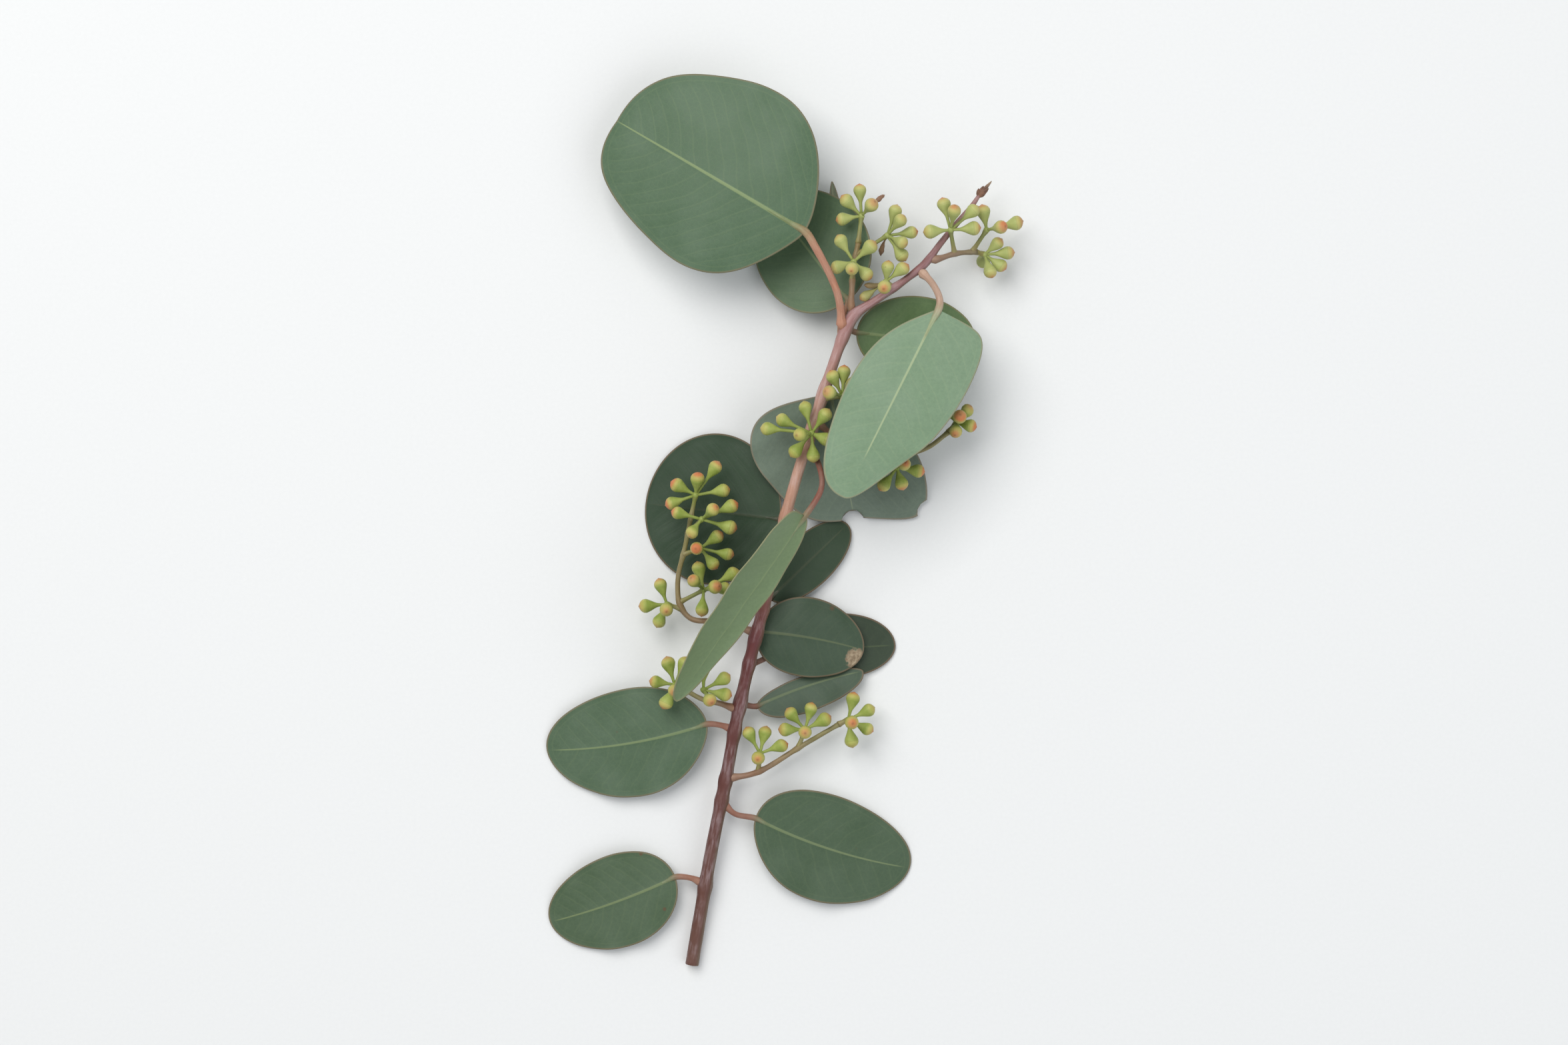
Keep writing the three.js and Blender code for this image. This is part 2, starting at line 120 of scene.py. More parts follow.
STEM_LENGTH = 290
# Partly the bark's own change from deep red to pink and mauve, partly painted light: the darkest
# stretch low down holds painted shade among the low leaves, and the bright pink middle stretch holds
# painted highlight
STEM_COLORS = [  # distance from the cut end, and colour
    (0, (0.14, 0.065, 0.045)), (60, (0.13, 0.045, 0.036)), (105, (0.135, 0.034, 0.034)),
    (126, (0.3, 0.12, 0.09)), (143, (0.53, 0.29, 0.2)), (165, (0.58, 0.35, 0.25)),
    (186, (0.48, 0.28, 0.235)), (210, (0.37, 0.2, 0.19)), (238, (0.25, 0.115, 0.115)),
    (262, (0.34, 0.19, 0.175)), (285, (0.38, 0.22, 0.19)),
]

# Side twigs: centreline from the stem outwards
TWIGS = dict(
    top=[(20.5, 65, 19.5), (21, 72, 18.5), (21.5, 79.5, 17.5), (23, 86.5, 17)],
    tip=[(44.8, 81.2, 16.4), (48.5, 82, 15.5), (53, 83.5, 14), (60, 84.3, 12)],
    right=[(9.7, 31.5, 18), (18, 25, 15), (31, 20.5, 14), (44, 23, 14), (51, 28, 14.5)],
    left=[
        (-8.5, -34.5, 12), (-19, -31, 9.5), (-29, -30, 8.5), (-32.5, -25.5, 8.5),
        (-33, -17, 9), (-31, -8.5, 10), (-29, 1.5, 11),
    ],
    low_left=[(-14, -58.5, 10), (-19.5, -56.5, 10.5), (-25.5, -55, 11), (-31, -52, 11.5)],
    low_right=[(-18.2, -80, 7.7), (-8.5, -78, 8.5), (5, -70, 9), (17, -63, 9)],
)
# Twig colours, at the foot and at the end
TWIG_TINTS = dict(
    top=((0.3, 0.17, 0.095), (0.31, 0.23, 0.1)),
    tip=((0.3, 0.17, 0.11), (0.2, 0.16, 0.075)),
)
USUAL_TWIG = ((0.3, 0.16, 0.1), (0.27, 0.25, 0.09))

# Leaves: petiole from the stem to the blade's base, and the blade's tip. wide is the half width to
# the left and right, seen from base to tip, and the four after it shape those halves: full moves the
# widest place to the base, pinch hollows the outline beside the petiole, square fills the shoulders
# at the base, and blunt pushes those at the tip past it. roll turns the blade about its midrib, bow
# arches it, bend curves it sideways, fold lifts its edges and wave ripples them. stalk is the
# petiole's radius. bites and scar are places and radii of what was eaten and of what has healed.
# tints are the colours of the upper face, midrib and petiole, waxy is the strength of the bloom, and
# rib is where the midrib fades out, as a share of the blade, and its width at the base. veins is how
# raised the side veins are, and rough the least roughness.
PLAIN_LEAF = dict(
    full=(0, 0), pinch=(0, 0), square=(0, 0), blunt=(0, 0), roll=0, bow=0, bend=0, fold=0,
    wave=0.3, stalk=1.0, bites=(), scar=None, rib=(0.95, 0.38), veins=0.15, rough=0.46)
UNDERSIDE = dict(waxy=0.6, scar=None, rib=(1, 0.6), veins=0.6, rough=0.52)
LEAVES = dict(
    large_round=dict(
        petiole=[(18, 59.5, 20.2), (16.5, 70.5, 23.5), (9.5, 85, 25.7), (6.5, 89.5, 26)],
        tip=(-52, 125, 12), wide=(28, 32.5), full=(0.2, 0.2), pinch=(0.6, 0.3), blunt=(11, 7),
        roll=-3, bow=4, fold=-6, wave=0.6, stalk=1.3, rib=(1, 0.6), waxy=0.2,
        tints=((0.08, 0.145, 0.076), (0.22, 0.29, 0.13), (0.5, 0.24, 0.155))),
    # Its pale tints are partly its waxy bloom and partly painted sheen of the sky on its upper face
    long_pale=dict(
        petiole=[(42, 78.2, 16.8), (46, 73.5, 21.5), (48, 68.5, 24.5), (47.5, 65.5, 26)],
        tip=(18.5, 7.5, 29), wide=(17.5, 15), full=(0.4, 0), pinch=(0, 0.8), square=(0.65, 0.1),
        blunt=(-9, 5), bow=2, fold=-4, wave=0.5, stalk=1.2, rib=(0.78, 0.28), waxy=0.3,
        tints=((0.2, 0.305, 0.185), (0.36, 0.44, 0.25), (0.55, 0.37, 0.28))),
    turned=dict(
        petiole=[(7.5, 24.5, 17.8), (11, 17, 21), (11.5, 10.5, 24), (6.5, 2, 25)],
        tip=(-33.5, -55, 24), wide=(6.6, 13.2), full=(0.2, 0.1), square=(0, 0.6), roll=-50,
        fold=10, rib=(0.85, 0.25), waxy=0.15,
        tints=((0.2, 0.285, 0.14), (0.23, 0.31, 0.15), (0.25, 0.09, 0.06))),
    # Its tints are darkened as painted shade, as if it lay in the shadow of the leaves above
    low_right=dict(
        petiole=[(-9.3, -36, 12), (-9.8, -35.2, 9.8), (-8.5, -34, 8.4)],
        tip=(25, -40, 4.5), wide=(12.5, 12.5), full=(0.1, 0.1), bow=1.5, bend=1, fold=-5,
        scar=(22.3, -42.6, 5, 3.6), waxy=0.12,
        tints=((0.038, 0.07, 0.037), (0.1, 0.13, 0.065), (0.22, 0.09, 0.06))),
    # Its tints are darkened as painted shade, as if it lay in the shadow of the leaves above
    low_right_back=dict(
        petiole=[(-10.8, -44.5, 11.3), (-8, -43.5, 6.5), (-1, -40.5, 4.2)],
        tip=(35, -38.5, 0.25), wide=(11, 9.5), wave=0, waxy=0.08,
        tints=((0.026, 0.045, 0.022), (0.06, 0.085, 0.04), (0.2, 0.09, 0.06))),
    # Its tints are darkened as painted shade, as if it lay in the shadow of the leaves above
    low_tilted=dict(
        petiole=[(-13.3, -55.5, 10.05), (-11.8, -57, 7.4), (-8.5, -57.5, 5.8)],
        tip=(24.8, -46.6, 3.4), wide=(3.4, 8), full=(0.1, 0.1), bow=0.5, bend=1, roll=-12, waxy=0.15,
        tints=((0.05, 0.085, 0.05), (0.12, 0.16, 0.08), (0.22, 0.09, 0.06))),
    under_round=dict(
        petiole=[(18, 57, 19.4), (17.5, 62, 15.5), (20, 69, 13)],
        tip=(-4, 101, 0.8), wide=(17.5, 19), full=(0.1, 0.1), roll=-10, bow=1.5, waxy=0.16,
        tints=((0.1, 0.165, 0.085), (0.2, 0.26, 0.13), (0.35, 0.17, 0.1))),
    narrow=dict(
        petiole=[(20.3, 62, 18.8), (20.8, 66, 9.5), (18.5, 79, 3.4)],
        tip=(15, 107, 2.4), wide=(4, 4), full=(0.2, 0.2), blunt=(-9, -9), roll=35, bend=1, fold=10,
        wave=0.1, waxy=0.2, tints=((0.17, 0.19, 0.12), (0.25, 0.27, 0.17), (0.32, 0.17, 0.11))),
    fork=dict(
        petiole=[(20, 60, 19.3), (20.3, 59.8, 16.4), (22.5, 59, 14.8)],
        tip=(60, 55, 6), wide=(13.5, 13), bow=1.5, waxy=0.12,
        tints=((0.105, 0.175, 0.066), (0.19, 0.25, 0.11), (0.33, 0.18, 0.11))),
    # Its tints are lightened all over as painted light, offsetting the shadow that the long pale leaf
    # casts on it
    broad_back=dict(
        petiole=[(12.6, 41, 18.8), (13.8, 43, 17), (14.5, 40, 15)],
        tip=(22, 1.5, 2.5), wide=(21, 26), full=(-0.65, 0.35), square=(0.3, 0.45), blunt=(9, 9),
        bow=0.5, bites=[(45.4, 3.3, 3.6), (21.6, 0.6, 3.4)], waxy=0.4,
        tints=((0.15, 0.2, 0.15), (0.24, 0.29, 0.19), (0.3, 0.15, 0.1))),
    # Its tints are darkened as painted shade, as if it lay in deep shadow under the sprig
    dark_right=dict(
        petiole=[(-6.4, -27, 13), (-6, -26, 8), (-4.5, -24, 4.2)],
        tip=(20, -0.5, 0.7), wide=(8, 8), bow=0.3, waxy=0.05,
        tints=((0.024, 0.052, 0.022), (0.05, 0.07, 0.035), (0.2, 0.1, 0.06))),
    # Its tints are darkened as painted shade, as if it lay in deep shadow under the sprig
    dark_left=dict(
        petiole=[(0.4, 1.5, 15.5), (0.2, 1.2, 9), (-1, 1, 4.8)],
        tip=(-43.5, 6, 0.25), wide=(23, 24.5), bow=-0.3, wave=0.2, waxy=0.04,
        tints=((0.021, 0.052, 0.021), (0.04, 0.06, 0.028), (0.2, 0.1, 0.06))),
    stem_left=dict(
        petiole=[(-15.5, -65, 9), (-19, -63.5, 7.5), (-24, -63, 6.5)],
        tip=(-74.5, -71.5, 0.25), wide=(17, 17), full=(0.1, 0.1), pinch=(0.2, 0.2), bow=1, bend=2,
        wave=0.5, waxy=0.18, tints=((0.075, 0.13, 0.07), (0.18, 0.24, 0.11), (0.34, 0.15, 0.1))),
    stem_right=dict(
        petiole=[(-19.5, -87, 7), (-15.5, -91, 6.5), (-9, -92.5, 5.5)],
        tip=(39.5, -108.5, 0.25), wide=(16.5, 17), full=(0.1, 0.1), pinch=(0, 0.2), bow=1, bend=-2,
        wave=0.5, waxy=0.14, tints=((0.06, 0.105, 0.054), (0.16, 0.21, 0.1), (0.3, 0.13, 0.085))),
    base_left=dict(
        petiole=[(-25, -113.5, 4.5), (-28.5, -111.5, 4.5), (-34, -111, 4.2)],
        tip=(-73.5, -125.5, 0.25), wide=(14.5, 14.5), full=(0.1, 0.1), bow=1, bend=1, wave=0.4,
        waxy=0.14, tints=((0.068, 0.115, 0.058), (0.17, 0.22, 0.1), (0.33, 0.15, 0.095))),
)

# Umbels: the stalk's foot and hub, and each bud's middle as x, y and a lift from -1, pointing down,
# to 1, pointing up
UMBELS = dict(
    stem_front=((9, 29, 18), (8.5, 27.5, 23), [
        (6.5, 35.5, 0.5), (-0.5, 31.5, 0.5), (-5, 29, 0), (5, 27, 1), (3.5, 22, 0.2),
        (9, 20.5, 0.5), (12.5, 33, 0.4), (12, 26, 0.1)]),
    stem_upper=((11.5, 38, 19), (18, 39, 22.5), [
        (15, 45, 0.7), (14, 40, 0.9), (20.5, 43.5, 0.3), (18.5, 46.5, 0)]),
    top_low=((21.1, 75, 18), (21.5, 80.5, 21), [
        (17.5, 87, 0.5), (16.5, 79, -0.1), (25.5, 76.5, 0.5), (26.5, 85, 0.6), (21, 78, 1)]),
    top_high=((23, 86.5, 17), (24, 95, 17), [
        (19.5, 99.5, 0.5), (18, 94, 0.2), (23.5, 103, 0.2), (27, 98, 0.9), (30, 101, -0.2)]),
    top_right=((22.3, 83, 17.2), (32, 89, 16), [
        (34.5, 96.5, -0.2), (36, 93.5, 0.9), (39.5, 90, 0), (36.5, 86.5, 0.8), (36.5, 83, -0.4),
        (30, 85, -0.8)]),
    fork=((34, 72.7, 18.2), (31.5, 74.5, 19), [
        (26.5, 72.5, 0.2), (25, 69.8, 0.6), (31, 72.5, 1), (32, 78.5, 0.2), (36.5, 78.5, 0.3)]),
    tip_stem=((53, 83.5, 14), (51.5, 90.5, 19), [
        (49.5, 98.5, 0.2), (52.5, 96, 0.9), (45.5, 90, 0.3), (58.5, 96.5, 0.3), (58.5, 91, 0.3)]),
    tip_upper=((58.5, 84.2, 12.5), (63, 91, 12.5), [
        (62, 96.5, 0.2), (67, 91.5, 0.9), (72, 93, 0.2)]),
    tip_lower=((59.5, 84.3, 12), (62.5, 83.5, 10.5), [
        (66.5, 87, 0.2), (69.5, 84, 0.4), (67.5, 80, -0.3), (64, 78, 0.5), (62.5, 82, -1)]),
    right_end=((51, 28, 14.5), (53.5, 31, 15), [
        (56.8, 34.6, 0.6), (57.8, 30, 0.2), (53.2, 28.6, 0.5), (54.2, 32.6, 1), (51, 35, -0.3)]),
    right_middle=((33, 20.3, 14), (35, 17, 15.5), [
        (36.5, 12, 0), (41.5, 16, 0), (31, 11.5, 0.1), (37, 18, 1)]),
    right_inner=((24, 22.8, 14.5), (25, 27, 16), [
        (22, 32, 0.2), (29.5, 31.5, 0.2), (26, 27.5, 1), (31, 26, 0.2)]),
    left_end=((-29, 1.5, 11), (-27.5, 8.5, 12), [
        (-33, 11.5, 0.2), (-27, 13.5, 0.5), (-21.5, 17, 0), (-19, 10, 0), (-35, 6, -0.4)]),
    left_high=((-30, -3.5, 10.5), (-25.5, 1, 17), [
        (-16.5, 5, 0), (-22, 4, 0.9), (-33, 3, 0.4), (-28.5, -3, 0.8), (-17, -1.5, 0)]),
    left_middle=((-31.5, -10, 10), (-26, -8, 12), [
        (-21, -4.5, 0), (-27, -8, 1), (-17.5, -10, -0.2), (-22, -13, 0.3)]),
    left_low=((-32.7, -25, 8.5), (-25, -21, 11), [
        (-26.5, -14.5, -0.3), (-16, -16, -0.2), (-28, -18, 1), (-18.5, -20.5, 0),
        (-25.5, -27, 0.5), (-21.5, -20, 1)]),
    left_outer=((-32, -27, 8.5), (-36.5, -25.5, 9.5), [
        (-38.5, -19.5, 0), (-39, -31, 0), (-43, -26, 0.2), (-36.5, -27, 1)]),
    low_left_inner=((-22.5, -55.6, 10.8), (-25, -52, 14), [
        (-18.5, -48.5, 0), (-18.5, -53.5, 0.2), (-25, -45.5, 0), (-23, -55, 1)]),
    low_left_end=((-31, -52, 11.5), (-34, -50.5, 12), [
        (-36, -44, 0), (-31, -44, 0.1), (-40, -49.5, 0.2), (-36.5, -56, 0), (-34, -52, 1)]),
    low_right_end=((17, -63, 9), (20, -61.5, 9.5), [
        (21.5, -55, 0.2), (26.5, -58.5, 0), (26, -64.5, 0.2), (21, -68, 0), (21, -62, 1)]),
    low_right_middle=((4.5, -70.3, 9), (6.5, -64.5, 10.5), [
        (2, -59.5, 0), (8.5, -58, 0.2), (12.5, -61.5, 0.2), (6.5, -65, 1), (0.5, -64.5, 0.2)]),
    low_right_inner=((-8, -77.7, 8.5), (-7.5, -72, 10), [
        (-11, -65.5, 0.3), (-6, -65.5, 0), (-1, -69.5, 0.3), (-8, -73, 1)]),
)
# Buds that have dried up: umbel, the bud's number in its list, and how far
DRIED = {
    ("fork", 0): 0.75, ("fork", 1): 0.3, ("top_high", 4): 1,
    ("top_right", 5): 0.95, ("stem_upper", 2): 0.4,
}
# Umbels whose bud tips are turning orange: how strongly
BLUSHING = dict(
    tip_upper=0.9, tip_lower=0.8, right_end=0.9, right_middle=0.8,
    stem_front=0.3, left_end=0.85, left_high=0.8, left_middle=0.8,
)
USUAL_BLUSH = 0.6

BRACT_FOOT = (60.3, 101.2, 14.5)
BRACT_SCALES = [  # direction in plan in degrees, rise, length and half width of each dry scale
    (49, 0.05, 6.4, 0.55), (38, 0.25, 4.2, 0.8), (63, -0.12, 3.8, 0.75), (88, 0.2, 2.6, 0.6),
    (20, -0.1, 2.4, 0.55),
]
BRACT_SIDES = 12
BRACT_STEP = 0.35

# Colours
BROWN = (0.12, 0.055, 0.025)
LEAF_WAX = (0.3, 0.37, 0.3)
RIM_TAN = (0.42, 0.22, 0.14)
SCAR = ((0.2, 0.14, 0.08), (0.42, 0.33, 0.22))
UMBEL_STALK = ((0.28, 0.24, 0.085), (0.25, 0.29, 0.07))
WOOD = ((0.46, 0.34, 0.2), (0.68, 0.56, 0.38))
CUP = ((0.255, 0.325, 0.055), (0.36, 0.42, 0.1))
CAP = ((0.34, 0.38, 0.075), (0.47, 0.47, 0.13))
BUD_ORANGE = ((0.6, 0.15, 0.06), (0.52, 0.27, 0.11))
WITHERED_BUD = ((0.12, 0.055, 0.03), (0.38, 0.22, 0.14))
BRACT = ((0.07, 0.025, 0.018), (0.26, 0.13, 0.085))
TABLE = ((0.8, 0.81, 0.81), (0.84, 0.85, 0.85))


# Paths

def curve_point(points, place):
    """A point of the smooth curve through the points; place counts along them from 0."""
    index = min(int(place), len(points) - 2)
    share = place - index
    start, end = points[index], points[index + 1]
    before = points[index - 1] if index else start * 2 - end
    after = points[index + 2] if index + 2 < len(points) else end * 2 - start
    first = sqrt((start - before).length)
    span = sqrt((end - start).length)
    last = sqrt((after - end).length)
    leave = (start - before) / first - (end - before) / (first + span) + (end - start) / span
    arrive = (end - start) / span - (after - start) / (span + last) + (after - end) / last
    leave *= span
    arrive *= span
    bend = start * -3 + end * 3 - leave * 2 - arrive
    twist = start * 2 - end * 2 + leave + arrive
    return start + leave * share + bend * share ** 2 + twist * share ** 3


def smooth_path(points, step):
    """Evenly spaced stations along the curve: point, place among the control points, length so far."""
    points = [Vector(point) for point in points]
    count = (len(points) - 1) * CURVE_SAMPLES
    fine = [(curve_point(points, k / CURVE_SAMPLES), k / CURVE_SAMPLES) for k in range(count + 1)]
    lengths = [0]
    for (a, _), (b, _) in zip(fine, fine[1:]):
        lengths.append(lengths[-1] + (b - a).length)
    steps = max(2, round(lengths[-1] / step))
    stations = []
    piece = 0
    for k in range(steps + 1):
        along = lengths[-1] * k / steps
        while piece < count - 1 and lengths[piece + 1] < along:
            piece += 1
        share = (along - lengths[piece]) / (lengths[piece + 1] - lengths[piece])
        (a, place_a), (b, place_b) = fine[piece], fine[piece + 1]
        stations.append((a.lerp(b, share), place_a + (place_b - place_a) * share, along))
    return stations


def find_knots(stations, feet, reach):
    """How far along a limb each foot within reach of it stands."""
    knots = []
    for foot in map(Vector, feet):
        centre, _, along = min(stations, key=lambda station: (station[0] - foot).length)
        if (centre - foot).length < reach:
            knots.append(along)
    return knots


def blend_values(values, place):
    """The value at a place between the numbered values of a list."""
    below = min(int(place), len(values) - 2)
    return values[below] + (values[below + 1] - values[below]) * (place - below)


def step_up(value, low, high):
    """0 below low, 1 above high, and a smooth rise between."""
    share = min(max((value - low) / (high - low), 0), 1)
    return share * share * (3 - 2 * share)


def swelling(along, height, middle, reach):
    return height * exp(-((along - middle) / reach) ** 2)


def knot_swelling(along, knots, reach, most):
    return KNOT_SWELLING * min(sum(swelling(along, 1, knot, reach) for knot in knots), most)


def sunk(along):
    """How much thinner a limb starts, so that its end hides inside the stem that carries it."""
    return 0.42 + 0.58 * step_up(along, 0, 2)


# Building blocks. Each vertex carries "place", which its material's pattern follows.

def new_shape():
    shape = bmesh.new()
    return shape, shape.verts.layers.float_vector.new("place")


def faces_of(verts):
    return {face for vert in verts for face in vert.link_faces}


def dress(faces, material):
    for face in faces:
        face.material_index = material
        face.smooth = True


def limb(shape, stations, radius_at, sides, material, outline):
    """A round limb extruded ring by ring along the stations, closed at both ends.

    place holds the cosine and sine round the limb and the length so far. Returns the first end's face.
    """
    layer = shape.verts.layers.float_vector["place"]
    ring = bmesh.ops.create_circle(shape, segments=sides, radius=1, cap_ends=False)["verts"]
    for vert in ring:
        vert[layer] = (vert.co.x, vert.co.y, 0)
    edges = list(dict.fromkeys(edge for vert in ring for edge in vert.link_edges))
    first_edges = edges
    every = []
    side = Vector((0, 0, 1))
    last = len(stations) - 1
    for k, (centre, place, along) in enumerate(stations):
        heading = (stations[min(k + 1, last)][0] - stations[max(k - 1, 0)][0]).normalized()
        side = (side - heading * side.dot(heading)).normalized()
        other = heading.cross(side)
        if k:
            grown = bmesh.ops.extrude_edge_only(shape, edges=edges)["geom"]
            ring = [item for item in grown if isinstance(item, bmesh.types.BMVert)]
            fresh = set(ring)
            edges = [
                item for item in grown
                if isinstance(item, bmesh.types.BMEdge) and fresh.issuperset(item.verts)]
        radius = radius_at(place, along)
        for vert in ring:
            across, up, _ = vert[layer]
            reach = radius * outline(across, up, along)
            vert.co = centre + (side * across + other * up) * reach
            vert[layer] = (across, up, along)
        every += ring
    ends = [bmesh.ops.contextual_create(shape, geom=rim)["faces"][0] for rim in (first_edges, edges)]
    dress(faces_of(every), material)
    return ends[0]


def add_object(name, data):
    thing = bpy.data.objects.new(name, data)
    SCENE.collection.objects.link(thing)
    return thing


def add_mesh(name, shape, materials):
    mesh = bpy.data.meshes.new(name)
    shape.to_mesh(mesh)
    shape.free()
    for material in materials:
        mesh.materials.append(material)
    return add_object(name, mesh)


def finish_piece(name, shape, materials):
    """Turns a shape into a piece in metres, standing for the CAD node of that name."""
    for vert in shape.verts:
        vert.co.z = max(vert.co.z, LOWEST)
    bmesh.ops.recalc_face_normals(shape, faces=shape.faces)
    bmesh.ops.scale(shape, vec=(MM, MM, MM), verts=shape.verts)
    piece = add_mesh(f"{name}_finished", shape, materials)
    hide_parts(name)
    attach(piece, BODY)


# Node wiring

class Net:
    """Adds nodes to a tree, feeding each socket a number, a colour or another node's output."""

    def __init__(self, tree, material=None):
        self.tree = tree
        self.material = material

    def feed(self, socket, value):
        if isinstance(value, bpy.types.NodeSocket):
            self.tree.links.new(value, socket)
        elif socket.type == "RGBA":
            socket.default_value = (*value, 1)
        else:
            socket.default_value = value

    def node(self, kind, inputs, **settings):
        node = self.tree.nodes.new(kind)
        for key, value in settings.items():
            setattr(node, key, value)
        for key, value in dict(inputs).items():
            self.feed(node.inputs[key], value)
        return node.outputs

    def group(self, group, inputs):
        return self.node("ShaderNodeGroup", inputs, node_tree=group)

    def math(self, operation, *values):
        return self.node("ShaderNodeMath", enumerate(values), operation=operation)[0]

    def times(self, first, second):
        return self.math("MULTIPLY", first, second)

    def plus(self, first, second):
        return self.math("ADD", first, second)

    def minus(self, first, second):
        return self.math("SUBTRACT", first, second)

    def over(self, first, second):
        return self.math("DIVIDE", first, second)

    def rise(self, value, low, high):
        """0 at low and 1 at high, smoothly; low may be the larger."""
        inputs = {0: value, 1: low, 2: high}
        return self.node("ShaderNodeMapRange", inputs, interpolation_type="SMOOTHSTEP")[0]

    def mix(self, share, first, second, blend="MIX"):
        inputs = {0: share, 6: first, 7: second}
        return self.node("ShaderNodeMix", inputs, data_type="RGBA", blend_type=blend)[2]

    def paint(self, color, coat, mask, most):
        """Lays a coat over a colour where the mask is 1, and at most so strongly."""
        return self.mix(self.times(mask, most), color, coat)

    def darken(self, color, factors, mask):
        """Multiplies a colour by the factors where the mask is 0."""
        return self.mix(mask, self.mix(1, color, factors, "MULTIPLY"), color)

    def noise(self, vector, scale, detail=3.0, roughness=0.5):
        inputs = {"Vector": vector, "Scale": scale, "Detail": detail, "Roughness": roughness}
        return self.node("ShaderNodeTexNoise", inputs)["Fac"]

    def distance(self, vector, centre):
        inputs = {0: vector, 1: [value * MM for value in centre]}
        return self.node("ShaderNodeVectorMath", inputs, operation="DISTANCE")["Value"]

    def split(self, vector):
        return self.node("ShaderNodeSeparateXYZ", {0: vector})

    def join(self, *values):
        return self.node("ShaderNodeCombineXYZ", enumerate(values))[0]


def shade(color, factor):
    return tuple(channel * factor for channel in color)


def blend_tints(first, second, share):
    return tuple(a * (1 - share) + b * share for a, b in zip(first, second))


def new_group(name, inputs, wire):
    """A shader node group. wire gets its wiring and its inputs, and returns its outputs by name."""
    group = bpy.data.node_groups.new(name, "ShaderNodeTree")
    for title in inputs:
        kind = "NodeSocketVector" if "Vector" in title else "NodeSocketFloat"
        group.interface.new_socket(title, in_out="INPUT", socket_type=kind)
    net = Net(group)
    results = wire(net, group.nodes.new("NodeGroupInput").outputs)
    for title in results:
        group.interface.new_socket(title, in_out="OUTPUT", socket_type="NodeSocketFloat")
    net.node("NodeGroupOutput", results)
    return group


def wire_wax(net, given):
    """The pale bloom on leaves, buds and bark: broad patches, fine mottling and rubbed spots."""
    scale = net.over(1, given["Patch Size"])
    rub = net.noise(given["Vector"], net.times(scale, 3.7), 5, 0.62)
    edge = net.minus(0.78, net.times(given["Rubbing"], 0.3))
    return {
        "Patches": net.rise(net.noise(given["Vector"], scale, 3, 0.55), 0.34, 0.66),
        "Mottling": net.noise(given["Vector"], net.times(scale, 14), 4, 0.6),
        "Rubbed": net.rise(rub, edge, net.plus(edge, 0.08)),
    }


def wire_veins(net, given):
    """A blade's veins, from the millimetres along and across it and to its edge."""
    place, spacing = given["Place Vector"], given["Spacing"]
    along, across, margin = net.split(place)
    away = net.math("ABSOLUTE", across)
    slope = net.times(away, 0.62)
    curl = net.times(net.math("POWER", away, 2), 0.012)
    wander = net.minus(net.noise(place, 0.06, 1), 0.5)
    lead = net.plus(net.minus(net.minus(along, slope), curl), net.times(wander, 4))
    shift = net.times(net.math("GREATER_THAN", across, 0), 0.47)
    turns = net.plus(net.over(lead, spacing), shift)
    off = net.math("ABSOLUTE", net.minus(net.math("FRACT", turns), 0.5))
    side = net.rise(net.times(off, spacing), 0.55, 0.05)
    fade = net.rise(margin, 1.2, 4)
    share = net.over(along, given["Length"])
    left = net.math("POWER", net.math("MAXIMUM", net.minus(1, share), 0), 0.8)
    width = net.plus(net.times(left, given["Rib Width"]), 0.16)
    rib = net.rise(net.over(away, width), 1.25, 0.5)
    rib_left = net.rise(net.minus(share, given["Rib End"]), 0.04, -0.06)
    cells = net.node(
        "ShaderNodeTexVoronoi", {"Vector": place, "Scale": 0.62, "Randomness": 0.9},
        feature="DISTANCE_TO_EDGE", voronoi_dimensions="2D")
    return {
        "Midrib": net.times(rib, rib_left),
        "Side Veins": net.times(side, fade),
        "Net": net.rise(cells["Distance"], 0.1, 0),
        "Rim": net.rise(margin, 0.62, 0.3),
        "Edge Vein": net.rise(net.math("ABSOLUTE", net.minus(margin, 1.9)), 0.3, 0.05),
        "Swell": net.times(net.rise(off, 0, 0.5), fade),
    }


def wire_specks(net, given):
    """Scattered small brown spots, as on any plant that grew outdoors."""
    scale = net.times(net.over(1, given["Spot Size"]), 0.16)
    cells = net.node("ShaderNodeTexVoronoi", {"Vector": given["Vector"], "Scale": scale})
    chance, _, spread = net.split(cells["Color"])
    reach = net.times(net.plus(spread, 0.25), 0.14)
    spot = net.rise(cells["Distance"], reach, net.times(reach, 0.4))
    return {"Specks": net.times(spot, net.math("LESS_THAN", chance, given["Amount"]))}


def wire_bark(net, given):
    """Long streaks and small raised dots on bark, from the place round and along a limb."""
    across, up, along = net.split(given["Place Vector"])
    round_x = net.times(across, given["Radius"])
    round_y = net.times(up, given["Radius"])
    stretched = net.join(round_x, round_y, net.times(along, 0.14))
    plain = net.join(round_x, round_y, along)
    cells = net.node("ShaderNodeTexVoronoi", {"Vector": plain, "Scale": 0.9})
    return {
        "Streaks": net.rise(net.noise(stretched, 1.3, 4, 0.6), 0.38, 0.66),
        "Dots": net.rise(cells["Distance"], 0.2, 0.08),
        "Grain": net.noise(stretched, 5, 3, 0.6),
    }


WAX = new_group("wax_bloom", ["Vector", "Patch Size", "Rubbing"], wire_wax)
VEINS = new_group(
    "leaf_veins", ["Place Vector", "Length", "Spacing", "Rib Width", "Rib End"], wire_veins)
SPECKS = new_group("brown_specks", ["Vector", "Spot Size", "Amount"], wire_specks)
BARK = new_group("bark_streaks", ["Place Vector", "Radius"], wire_bark)


# Materials. Sizes in a group's inputs are metres on Object coordinates and millimetres on place.

def new_material(name):
    """The wiring of a new material, and outputs that give Object coordinates and place."""
    material = bpy.data.materials.new(name)
    material.use_nodes = True
    net = Net(material.node_tree, material)
    coords = net.node("ShaderNodeTexCoord", {})["Object"]
    place = net.node("ShaderNodeAttribute", {}, attribute_name="place")["Vector"]
    return net, coords, place


